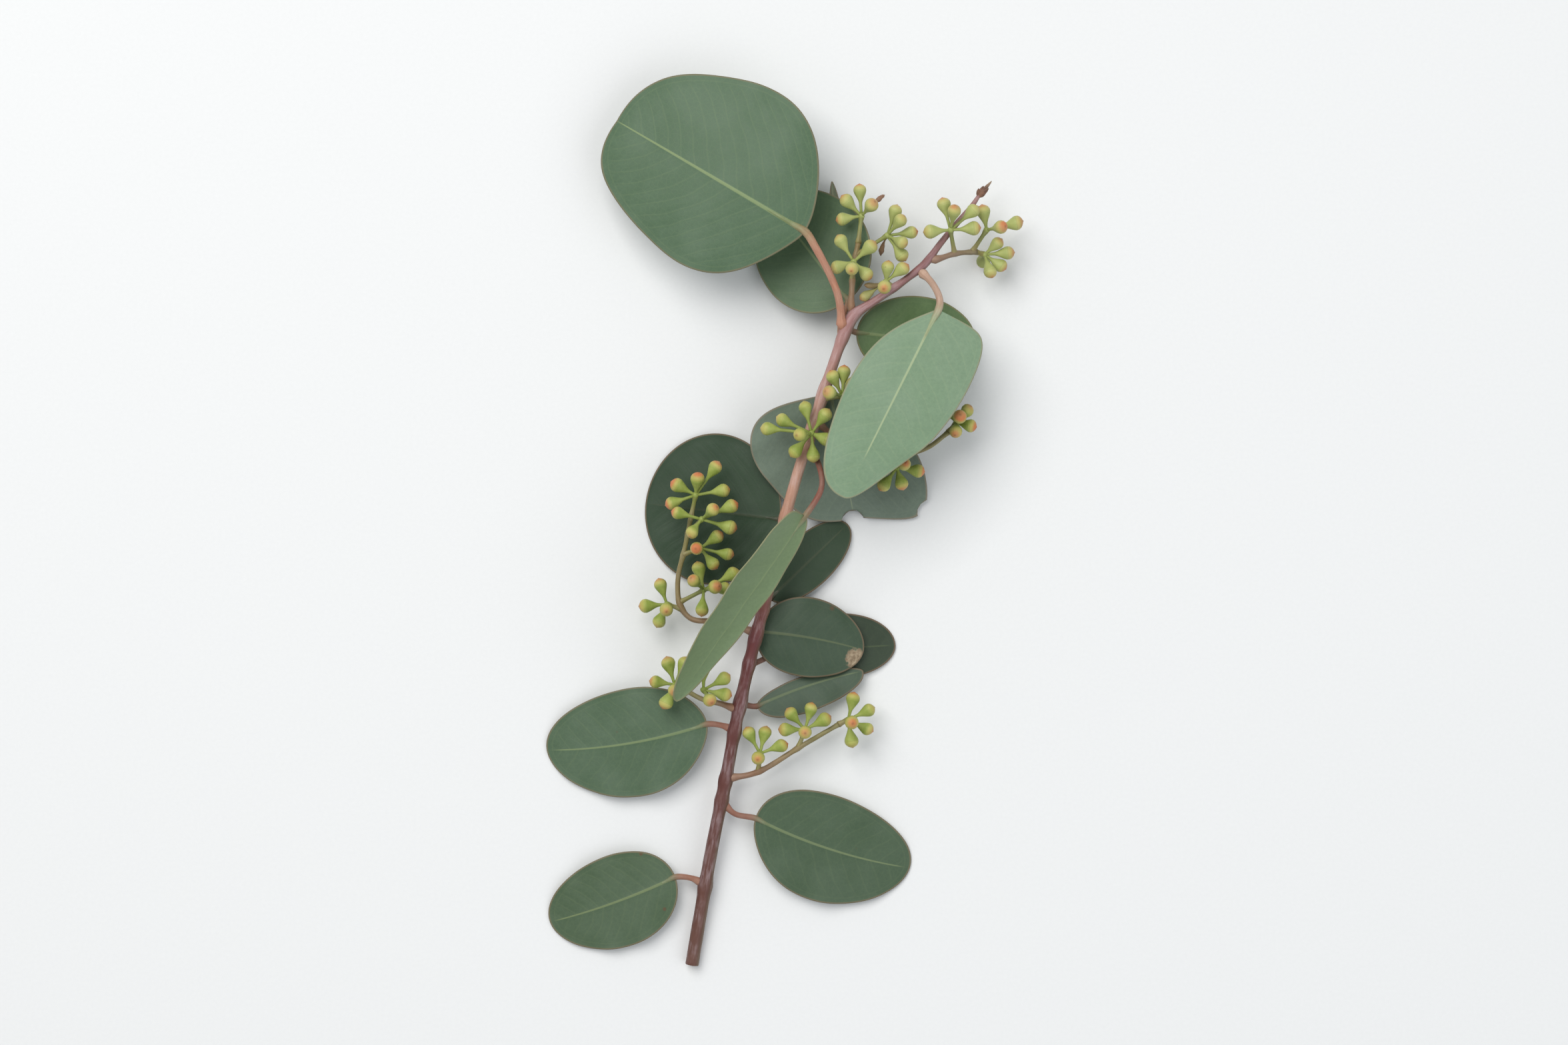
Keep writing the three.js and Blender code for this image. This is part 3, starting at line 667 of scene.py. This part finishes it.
def finish_material(net, color, roughness, relief=None, specular=0.5, sheen=0):
    """Feeds the shader; relief is a height, its depth and its strength. Returns the material."""
    shader = net.tree.nodes["Principled BSDF"]
    net.feed(shader.inputs["Base Color"], color)
    net.feed(shader.inputs["Roughness"], roughness)
    if relief:
        height, depth, strength = relief
        inputs = {"Height": height, "Distance": depth * MM, "Strength": strength}
        net.feed(shader.inputs["Normal"], net.node("ShaderNodeBump", inputs)["Normal"])
    shader.inputs["Specular IOR Level"].default_value = specular
    shader.inputs["Sheen Weight"].default_value = sheen
    return net.material


def blade_face(name, face, tint, length):
    """One face of a blade: waxy green with a pale midrib, faint side veins and net, and a tan rim."""
    net, coords, place = new_material(name)
    rib_tint = face["tints"][1]
    rib_end, rib_width = face["rib"]
    wax = net.group(WAX, {"Vector": coords, "Patch Size": 0.016, "Rubbing": 0.35})
    veins = net.group(VEINS, {
        "Place Vector": place, "Length": length, "Spacing": 5.2 if length > 45 else 4,
        "Rib Width": rib_width, "Rib End": rib_end})
    specks = net.group(SPECKS, {"Vector": coords, "Spot Size": 0.0012, "Amount": 0.05})
    fine = net.rise(wax["Mottling"], 0.3, 0.7)
    bloom = blend_tints(tint, LEAF_WAX, 0.38)
    color = net.paint(shade(tint, 0.96), bloom, wax["Patches"], face["waxy"])
    color = net.darken(color, (0.9, 0.91, 0.91), fine)
    color = net.paint(color, shade(tint, 0.78), wax["Rubbed"], 0.22)
    for vein, most in ("Net", 0.07), ("Edge Vein", 0.09), ("Side Veins", 0.085), ("Midrib", 0.9):
        color = net.paint(color, rib_tint, veins[vein], most)
    color = net.paint(color, BROWN, specks["Specks"], 0.7)
    if face["scar"]:
        *middle, radius = face["scar"]
        radius *= MM
        ragged = net.times(net.minus(wax["Mottling"], 0.5), 0.004)
        edge = net.plus(net.distance(coords, middle), ragged)
        healed = net.mix(fine, *SCAR)
        color = net.mix(net.rise(edge, radius, 0.7 * radius), color, healed)
    color = net.paint(color, blend_tints(tint, RIM_TAN, 0.38), veins["Rim"], 0.7)
    height = net.times(veins["Side Veins"], face["veins"])
    for mask, depth in (veins["Net"], 0.05), (wax["Mottling"], 0.22), (veins["Swell"], 0.4):
        height = net.plus(height, net.times(mask, depth))
    roughness = net.plus(net.times(wax["Mottling"], 0.16), face["rough"])
    return finish_material(net, color, roughness, (height, 0.16, 0.6), 0.38, 0.02)


def stalk_skin(name, foot_tint, end_tint, turning, radius):
    """Skin of a petiole, twig or umbel stalk: one colour at its foot, another past the turning."""
    net, coords, place = new_material(name)
    bark = net.group(BARK, {"Place Vector": place, "Radius": radius})
    wax = net.group(WAX, {"Vector": coords, "Patch Size": 0.005})
    color = net.mix(net.rise(net.split(place)[2], *turning), foot_tint, end_tint)
    color = net.darken(color, (0.8, 0.74, 0.7), bark["Streaks"])
    color = net.paint(color, (0.45, 0.4, 0.34), wax["Patches"], 0.14)
    color = net.paint(color, shade(BROWN, 1.6), bark["Dots"], 0.25)
    roughness = net.plus(net.times(wax["Mottling"], 0.2), 0.42)
    height = net.plus(net.times(bark["Grain"], 0.6), net.times(bark["Dots"], 0.5))
    return finish_material(net, color, roughness, (height, 0.08, 0.7), 0.4)


def stem_bark():
    """The stem's smooth red-brown bark: olive on one side, streaked, with a pale bloom above."""
    net, coords, place = new_material("stem_bark")
    bark = net.group(BARK, {"Place Vector": place, "Radius": 1.8})
    wax = net.group(WAX, {"Vector": coords, "Patch Size": 0.007})
    _, up, along = net.split(place)
    color = net.node("ShaderNodeValToRGB", {0: net.over(along, STEM_LENGTH)})["Color"]
    stops = color.node.color_ramp.elements
    for k, (distance, tint) in enumerate(STEM_COLORS):
        stop = stops[k] if k < 2 else stops.new(distance / STEM_LENGTH)
        stop.position = distance / STEM_LENGTH
        stop.color = (*tint, 1)
    olive = net.rise(up, 0.35, 1)
    color = net.paint(color, (0.17, 0.15, 0.075), olive, 0.4)
    color = net.darken(color, (0.86, 0.8, 0.8), bark["Streaks"])
    bloom = net.times(wax["Patches"], bark["Streaks"])
    color = net.paint(color, (0.52, 0.43, 0.46), bloom, 0.3)
    color = net.paint(color, BROWN, bark["Dots"], 0.22)
    roughness = net.plus(net.times(wax["Mottling"], 0.22), 0.38)
    height = net.plus(net.times(bark["Grain"], 0.7), net.times(bark["Dots"], 0.4))
    return finish_material(net, color, roughness, (height, 0.06, 0.6), 0.42)


def cut_wood():
    """The fresh cut across the stem: pale wood with fine rings and rays round its middle."""
    net, coords, place = new_material("cut_wood")
    across, up, _ = net.split(place)
    ring_width = 0.22 * MM
    middle = net.distance(coords, STEM[0][0])
    rings = net.math("SINE", net.times(middle, 2 * pi / ring_width))
    rays = net.math("SINE", net.times(net.math("ARCTAN2", up, across), 26))
    pattern = net.plus(net.times(rings, 0.12), net.times(rays, 0.05))
    pattern = net.plus(pattern, net.noise(coords, 2600, 4, 0.6))
    color = net.mix(net.rise(pattern, 0.25, 0.75), *WOOD)
    return finish_material(net, color, 0.8, (pattern, 0.08, 0.8))


def plain_tissue(name, tint, darkest):
    """A thin layer seen only at the cut: the green under the bark, or the brown pith."""
    net, coords, _ = new_material(name)
    grain = net.noise(coords, 3000, 3, 0.6)
    color = net.mix(grain, shade(tint, darkest), tint)
    return finish_material(net, color, 0.75, (grain, 0.06, 0.8))


def bud_skin():
    """Buds: yellow-green cup and cap, a brown seam between them, and a tip that turns orange.

    place holds the height as a share of the bud, the strength of the blush, and how dried it is.
    """
    net, coords, place = new_material("bud_skin")
    height, blush, dry = net.split(place)
    wax = net.group(WAX, {"Vector": coords, "Patch Size": 0.004})
    specks = net.group(SPECKS, {"Vector": coords, "Spot Size": 0.0008, "Amount": 0.3})
    cup = net.mix(wax["Patches"], *CUP)
    cap = net.mix(wax["Patches"], *CAP)
    color = net.mix(net.rise(height, SEAM_SHARE - 0.1, SEAM_SHARE + 0.1), cup, cap)
    # Painted light: buds towards the tip of the sprig are painted paler and yellower, standing in for
    # backlight
    painted_backlight = net.rise(net.split(coords)[1], 0.02, 0.075)
    color = net.paint(color, (0.5, 0.52, 0.22), painted_backlight, 0.5)
    foot = net.rise(height, 0.25, -0.1)
    color = net.paint(color, (0.22, 0.27, 0.06), foot, 0.5)
    ragged = net.plus(height, net.times(net.minus(wax["Mottling"], 0.5), 0.16))
    start = net.minus(0.96, net.times(blush, 0.22))
    flush = net.rise(ragged, net.minus(start, 0.16), start)
    color = net.paint(color, (0.55, 0.4, 0.12), flush, 0.4)
    tip = net.rise(ragged, start, net.plus(start, 0.17))
    strength = net.math("MINIMUM", net.times(blush, 1.5), 0.85)
    orange = net.mix(net.rise(net.noise(coords, 110, 1), 0.42, 0.6), *BUD_ORANGE)
    color = net.paint(color, orange, tip, strength)
    point = net.rise(height, 0.95, 0.995)
    color = net.paint(color, (0.25, 0.11, 0.05), point, 0.5)
    seam = net.rise(net.math("ABSOLUTE", net.minus(height, SEAM_SHARE)), 0.02, 0.003)
    color = net.paint(color, (0.26, 0.19, 0.06), seam, 0.28)
    color = net.paint(color, (0.2, 0.12, 0.05), specks["Specks"], 0.4)
    color = net.mix(dry, color, net.mix(wax["Mottling"], *WITHERED_BUD))
    roughness = net.plus(net.times(wax["Mottling"], 0.25), 0.38)
    return finish_material(net, color, roughness, (wax["Mottling"], 0.12, 0.6), 0.4, 0.03)


def bract_skin():
    """Dead scales at the tip: dark and light brown, finely lined along their length."""
    net, coords, place = new_material("bract_skin")
    bark = net.group(BARK, {"Place Vector": place, "Radius": 0.8})
    wax = net.group(WAX, {"Vector": coords, "Patch Size": 0.0025})
    color = net.mix(wax["Patches"], *BRACT)
    end = net.rise(net.split(place)[2], 2.6, 6)
    color = net.mix(end, color, (0.34, 0.25, 0.17))
    color = net.paint(color, (0.33, 0.2, 0.13), bark["Streaks"], 0.4)
    return finish_material(net, color, 0.8, (bark["Grain"], 0.15, 0.9))


def table_top():
    net, coords, _ = new_material("pale_table")
    return finish_material(net, net.mix(net.noise(coords, 900, 3, 0.6), *TABLE), 0.9)


# Pieces

def build_stem():
    points = [point for point, _ in STEM]
    radii = [radius for _, radius in STEM]
    stations = smooth_path(points, STEM_STEP)
    feet = [twig[0] for twig in TWIGS.values()]
    feet += [leaf["petiole"][0] for leaf in LEAVES.values()]
    feet += [foot for foot, _, _ in UMBELS.values()]
    knots = find_knots(stations, feet, 3)

    def radius_at(place, along):
        return blend_values(radii, place) * (1 + knot_swelling(along, knots, STEM_KNOT_REACH, 1.2))

    def outline(across, up, along):
        ribs = 0.012 * cos(3 * atan2(up, across) + along / 23)
        lumps = 0.025 * noise.noise(Vector((across * 1.3, up * 1.3, along / 4)))
        return 1 + ribs + lumps

    shape, _ = new_shape()
    cut = limb(shape, stations, radius_at, STEM_SIDES, 0, outline)
    bmesh.ops.bevel(
        shape, geom=list(cut.edges), offset=0.12, segments=2, profile=0.5, affect="EDGES",
        material=-1)
    ends = [face for face in shape.faces if len(face.verts) == STEM_SIDES]
    cut = min(ends, key=lambda face: face.calc_center_median().y)
    cut.smooth = False
    # Layers under the bark: width of what lies outside, how far it slopes, and the layer's material
    for width, slope, layer in ((0.22, -0.02, 1), (0.12, 0, 2), (1.2, 0, 3)):
        bmesh.ops.inset_region(shape, faces=[cut], thickness=width, depth=slope)
        cut.material_index = layer
    materials = [
        stem_bark(), plain_tissue("green_under_bark", (0.3, 0.34, 0.12), 0.7), cut_wood(),
        plain_tissue("pith", (0.36, 0.24, 0.14), 0.6)]
    finish_piece("main_stem", shape, materials)


def build_twig(name, points):
    stations = smooth_path(points, TWIG_STEP)
    length = stations[-1][2]
    knots = find_knots(stations, [foot for foot, _, _ in UMBELS.values()], 2)
    first, last = TWIG_RADII

    def radius_at(place, along):
        radius = first + (last - first) * along / length + swelling(along, *TWIG_FLARE)
        return (radius + knot_swelling(along, knots, TWIG_KNOT_REACH, 1)) * sunk(along)

    def outline(across, up, along):
        return 1 + 0.07 * across * across + 0.05 * noise.noise(Vector((across, up, along / 3)))

    shape, _ = new_shape()
    limb(shape, stations, radius_at, TWIG_SIDES, 0, outline)
    skin = stalk_skin(f"twig_{name}_skin", *TWIG_TINTS.get(name, USUAL_TWIG), (0, length), 0.9)
    finish_piece(f"twig_{name}", shape, [skin])


def blade_axes(leaf):
    """A blade's base, its length, and its directions along the midrib, up and to the left."""
    base = Vector(leaf["petiole"][-1])
    along = Vector(leaf["tip"]) - base
    length = along.length
    along.normalize()
    up = Vector((0, 0, 1)) - along * along.z
    up.normalize()
    up = Matrix.Rotation(radians(leaf["roll"]), 3, along) @ up
    return base, length, along, up, up.cross(along)


def half_width(leaf, angle, right):
    """Half the blade's width at an angle that runs from 0 at its base to pi at its tip."""
    left = (1 + cos(angle)) / 2
    rounding = max(sin(angle), 0) ** (1 - leaf["square"][right] * left ** 2)
    rounding *= 1 + leaf["full"][right] * cos(angle)
    rounding *= 1 - leaf["pinch"][right] * left ** 8
    return max(leaf["wide"][right] * rounding, TIP_WIDTH)


def blade_point(leaf, axes, angle, across, height):
    """The point at a signed distance across the blade, left positive, and a height over its middle."""
    base, length, along, up, left = axes
    share = (1 - cos(angle)) / 2
    right = across < 0
    half = half_width(leaf, angle, right)
    ratio = min(abs(across) / half, 1)
    arch = 4 * share * (1 - share)
    fold = radians(leaf["fold"])
    shoulder = (abs(across) / leaf["wide"][right]) ** 1.3 * step_up(share, 0.55, 0.95)
    turn = RIPPLES * share * pi + (2 if right else 0)
    ripple = leaf["wave"] * ratio ** 3 * sin(turn) * arch
    swell = QUILTING * noise.noise(
        Vector((share * length / QUILT_SIZE, across / QUILT_SIZE, length)))
    return (
        base + along * (share * length + leaf["blunt"][right] * shoulder)
        + left * (leaf["bend"] * arch + across * cos(fold))
        + up * (leaf["bow"] * arch + ratio ** 2 * half * sin(fold) + ripple + swell + height))


def column_distance(column, half):
    """How far a grid column stands from the midrib: close beside it, evenly spread, then the rim."""
    rim = min(RIM_WIDTH, half * 0.3)
    if column <= len(RIB_COLUMNS):
        return min(RIB_COLUMNS[column - 1], half * 0.12 * column) if column else 0
    inner = half - rim
    start = min(RIB_COLUMNS[-1], half * 0.12 * len(RIB_COLUMNS))
    step = column - len(RIB_COLUMNS)
    if step <= BLADE_INNER:
        return start + (inner - start) * step / BLADE_INNER
    return inner + rim * (step - BLADE_INNER) / 2


def edge_finder(leaf, length, steps=300):
    """Finds the nearest point of the flat blade's outline."""
    tree = kdtree.KDTree(2 * (steps + 1))
    for k in range(steps + 1):
        angle = pi * k / steps
        along = (1 - cos(angle)) / 2 * length
        for right in (False, True):
            half = half_width(leaf, angle, right)
            tree.insert(Vector((along, -half if right else half, 0)), 2 * k + right)
    tree.balance()
    return tree


def add_blade(shape, layer, leaf, axes):
    """A blade: a grid for its upper face, extruded to its underside, thin at the rim.

    place holds the distances along and across the blade, and to its edge.
    """
    length = axes[1]
    edge = edge_finder(leaf, length)
    upper = bmesh.ops.create_grid(
        shape, x_segments=2 * HALF_COLUMNS, y_segments=BLADE_ROWS, size=1)["verts"]
    for vert in upper:
        angle = (vert.co.y + 1) / 2 * pi
        column = round(vert.co.x * HALF_COLUMNS)
        distance = column_distance(abs(column), half_width(leaf, angle, column > 0))
        across = copysign(distance, -column) if column else 0
        along = (1 - cos(angle)) / 2 * length
        margin = edge.find(Vector((along, across, 0)))[2]
        if abs(column) == HALF_COLUMNS:
            margin = 0
        vert[layer] = (along, across, margin)
    extruded = bmesh.ops.extrude_face_region(shape, geom=list(shape.faces))["geom"]
    lower = [item for item in extruded if isinstance(item, bmesh.types.BMVert)]
    lower_faces = [item for item in extruded if isinstance(item, bmesh.types.BMFace)]
    for side, verts in ((1, upper), (-1, lower)):
        for vert in verts:
            along, across, margin = vert[layer]
            share = min(max(along / length, 0), 1)
            angle = acos(1 - 2 * share)
            thickness = RIM_THICKNESS + (BLADE_THICKNESS - RIM_THICKNESS) * step_up(margin, 0, 6)
            height = side * (thickness / 2 + swelling(margin, *RIM_BEAD))
            if side > 0:
                height += swelling(across, RIB_HEIGHT * (1 - share) ** 0.6, 0, RIB_REACH)
            vert.co = blade_point(leaf, axes, angle, across, height)
            for x, y, radius in leaf["bites"]:
                away = Vector((vert.co.x - x, vert.co.y - y, 0))
                if 0 < away.length < radius:
                    away *= radius / away.length - 1
                    vert.co += away
                    vert[layer] = (along, across, min(margin, BITTEN_RIM))
    dress(faces_of(upper) | faces_of(lower), 0)
    dress(lower_faces, 1)


def build_leaf(short_name, leaf):
    name = f"leaf_{short_name}"
    leaf = PLAIN_LEAF | leaf
    axes = blade_axes(leaf)
    shape, layer = new_shape()
    add_blade(shape, layer, leaf, axes)

    # The petiole runs on under the blade as its midrib
    route = [Vector(point) for point in leaf["petiole"]]
    first = len(route) - 1
    for share in UNDER_RIB:
        route.append(blade_point(leaf, axes, acos(1 - 2 * share), 0, UNDER_RIB_HEIGHT))
    stations = smooth_path(route, PETIOLE_STEP)
    petiole_length = next(along for _, place, along in stations if place >= first)

    def radius_at(place, along):
        if place <= first:
            neck = 0.12 * sin(pi * min(along / petiole_length, 1))
            return leaf["stalk"] * (1 + swelling(along, *PETIOLE_FLARE) - neck) * sunk(along)
        left = max(1 - (place - first) / len(UNDER_RIB), 0)
        return 0.1 + (leaf["stalk"] - 0.1) * left ** 1.6

    def outline(across, up, along):
        groove = -0.12 * step_up(across, 0.6, 1) * step_up(petiole_length - along, 0, 3)
        return 1 + groove + 0.04 * noise.noise(Vector((across, up, along / 3)))

    limb(shape, stations, radius_at, PETIOLE_SIDES, 2, outline)
    tint, rib_tint, petiole_tint = leaf["tints"]
    turning = (petiole_length * 0.75, petiole_length * 1.2)
    materials = [
        blade_face(f"{name}_upper", leaf, tint, axes[1]),
        blade_face(f"{name}_under", leaf | UNDERSIDE, blend_tints(tint, LEAF_WAX, 0.25), axes[1]),
        stalk_skin(f"{name}_petiole", petiole_tint, rib_tint, turning, leaf["stalk"])]
    finish_piece(name, shape, materials)


def add_bud(shape, layer, hub, bud, blush, dry, chance):
    """One bud on its own stalk: half an outline spun round, then turned from the hub to its place."""
    x, y, lift = bud
    in_plan = hypot(x - hub.x, y - hub.y)
    rise = lift * sqrt(max(BUD_REACH ** 2 - in_plan ** 2, 0))
    towards = Vector((x - hub.x, y - hub.y, rise))
    stalk = max(towards.length - BUD_MIDDLE, SHORTEST_STALK)
    size = chance.uniform(0.93, 1.03) * (1 - 0.15 * dry)
    girth = size * chance.uniform(0.93, 1.02) * (1 - 0.58 * dry)
    lean = chance.uniform(-0.05, 0.05) + 0.3 * dry
    profile = CUP_OUTLINE + [(radius, SEAM_HEIGHT + height) for radius, height in CAP_OUTLINE]
    outline = [(0.45, 0.4), (0.47, stalk * 0.55)]
    outline += [(radius * girth, stalk + height * size) for radius, height in profile]
    before = set(shape.verts)
    rim = []
    for radius, height in outline:
        vert = shape.verts.new((radius, 0, height))
        vert[layer] = ((height - stalk) / (BUD_LENGTH * size), blush, dry)
        rim.append(vert)
    edges = [shape.edges.new(pair) for pair in zip(rim, rim[1:])]
    bmesh.ops.spin(
        shape, geom=rim + edges, cent=(0, 0, 0), axis=(0, 0, 1), angle=2 * pi,
        steps=BUD_SIDES, use_merge=True)
    spun = [vert for vert in shape.verts if vert not in before]
    bmesh.ops.remove_doubles(shape, verts=spun, dist=1e-5)
    whole = [vert for vert in shape.verts if vert not in before]
    open_edges = [edge for edge in shape.edges if edge.is_boundary]
    bmesh.ops.contextual_create(shape, geom=open_edges)
    for vert in whole:
        vert.co.x += lean * max(vert[layer][0], 0) ** 2 * BUD_LENGTH
        if dry:
            spot = Vector((vert.co.x, vert.co.y, vert.co.z * 0.5)) * 1.3
            pucker = 1 + 0.4 * (dry * noise.noise(spot))
            vert.co.x *= pucker
            vert.co.y *= pucker
    turn = Vector((0, 0, 1)).rotation_difference(towards.normalized()).to_matrix().to_4x4()
    spin = Matrix.Rotation(chance.uniform(0, 6), 4, "Z")
    bmesh.ops.transform(shape, matrix=Matrix.Translation(hub) @ turn @ spin, verts=whole)
    dress(faces_of(whole), 0)


def build_umbel(short_name, umbel, skin, stalk_material):
    name = f"umbel_{short_name}"
    foot, hub, buds = umbel
    chance = random.Random(name)
    foot, hub = Vector(foot), Vector(hub)
    shape, layer = new_shape()
    sag = Vector((0, 0, 0.4))
    stations = smooth_path([foot, foot.lerp(hub, 0.5) - sag, hub], STALK_STEP)
    length = stations[-1][2]
    first, last = STALK_RADII

    def radius_at(place, along):
        widening = 0.35 * step_up(along, length - 2.2, length)
        return first + (last - first) * along / length + swelling(along, *STALK_FLARE) + widening

    def outline(across, up, along):
        return 1 + 0.14 * up * up

    limb(shape, stations, radius_at, STALK_SIDES, 1, outline)
    knob = bmesh.ops.create_uvsphere(shape, u_segments=14, v_segments=8, radius=HUB_RADIUS)["verts"]
    for vert in knob:
        vert.co *= 1 + 0.16 * noise.noise(vert.co * 1.4 + hub)
    bmesh.ops.translate(shape, vec=hub, verts=knob)
    dress(faces_of(knob), 0)
    for number, bud in enumerate(buds):
        dry = DRIED.get((short_name, number), 0)
        blush = min(BLUSHING.get(short_name, USUAL_BLUSH) * chance.uniform(0.55, 1.3), 1)
        add_bud(shape, layer, hub, bud, blush, dry, chance)
    finish_piece(name, shape, [skin, stalk_material])


def build_bract():
    """Thin dry scales, overlapping where they leave the tip of the stem."""
    shape, _ = new_shape()
    foot = Vector(BRACT_FOOT)
    for turn, rise, length, half in BRACT_SCALES:
        turn = radians(turn)
        heading = Vector((cos(turn), sin(turn), rise)).normalized()
        crook = Vector((0, 0, 0.09 * length))
        middle = [foot + heading * length * share + crook for share in (0.35, 0.7)]
        stations = smooth_path([foot, *middle, foot + heading * length], BRACT_STEP)

        def radius_at(place, along):
            share = along / stations[-1][2]
            return 0.06 + half * sin(pi * min(share * 0.85 + 0.15, 1)) ** 0.8

        def outline(across, up, along):
            return 0.3 + 0.7 * abs(up) + 0.12 * noise.noise(Vector((across, up, along)) * 1.5)

        limb(shape, stations, radius_at, BRACT_SIDES, 0, outline)
    finish_piece("tip_bract", shape, [bract_skin()])


build_stem()
for twig_name, twig_points in TWIGS.items():
    build_twig(twig_name, twig_points)
for leaf_name, leaf_facts in LEAVES.items():
    build_leaf(leaf_name, leaf_facts)
bud_material = bud_skin()
umbel_stalk = stalk_skin("umbel_stalk", *UMBEL_STALK, (0, 6), 0.6)
for umbel_name, umbel_places in UMBELS.items():
    build_umbel(umbel_name, umbel_places, bud_material, umbel_stalk)
build_bract()


# Floor, light and camera

SPRIG_LENGTH = 0.279
FRAME_SHARE = 0.86  # how much of the picture's height the sprig fills
MIDDLE_HEIGHT = 0.015
LENS = 90
SENSOR_HEIGHT = 24


def build_floor():
    shape = bmesh.new()
    bmesh.ops.create_grid(shape, x_segments=1, y_segments=1, size=3)
    floor = add_mesh("table", shape, [table_top()])
    floor.location.z = -0.0003


def build_light(name, place, size, power, color):
    """A square soft lamp that shines at the middle of the sprig."""
    lamp = bpy.data.lights.new(name, "AREA")
    lamp.shape = "SQUARE"
    lamp.size = size
    lamp.energy = power
    lamp.color = color
    light = add_object(name, lamp)
    light.location = place
    light.rotation_euler = (-Vector(place)).to_track_quat("-Z", "Y").to_euler()


def build_camera():
    """Looks straight down on the sprig."""
    camera = add_object("camera", bpy.data.cameras.new("camera"))
    camera.data.lens = LENS
    camera.data.clip_start = 0.05
    distance = SPRIG_LENGTH / FRAME_SHARE * LENS / SENSOR_HEIGHT
    camera.location = (0, 0, distance + MIDDLE_HEIGHT)
    SCENE.camera = camera


build_floor()
build_light("window", (-0.55, 0.75, 1.5), 1.3, 24, (1, 0.985, 0.96))
build_light("fill", (0.9, -0.5, 1.2), 1.4, 7, (0.96, 0.98, 1))
world = bpy.data.worlds.new("studio")
world.use_nodes = True
sky = world.node_tree.nodes["Background"].inputs
sky["Color"].default_value = (0.93, 0.96, 1, 1)
sky["Strength"].default_value = 0.4
SCENE.world = world
SCENE.view_settings.view_transform = "Standard"
build_camera()
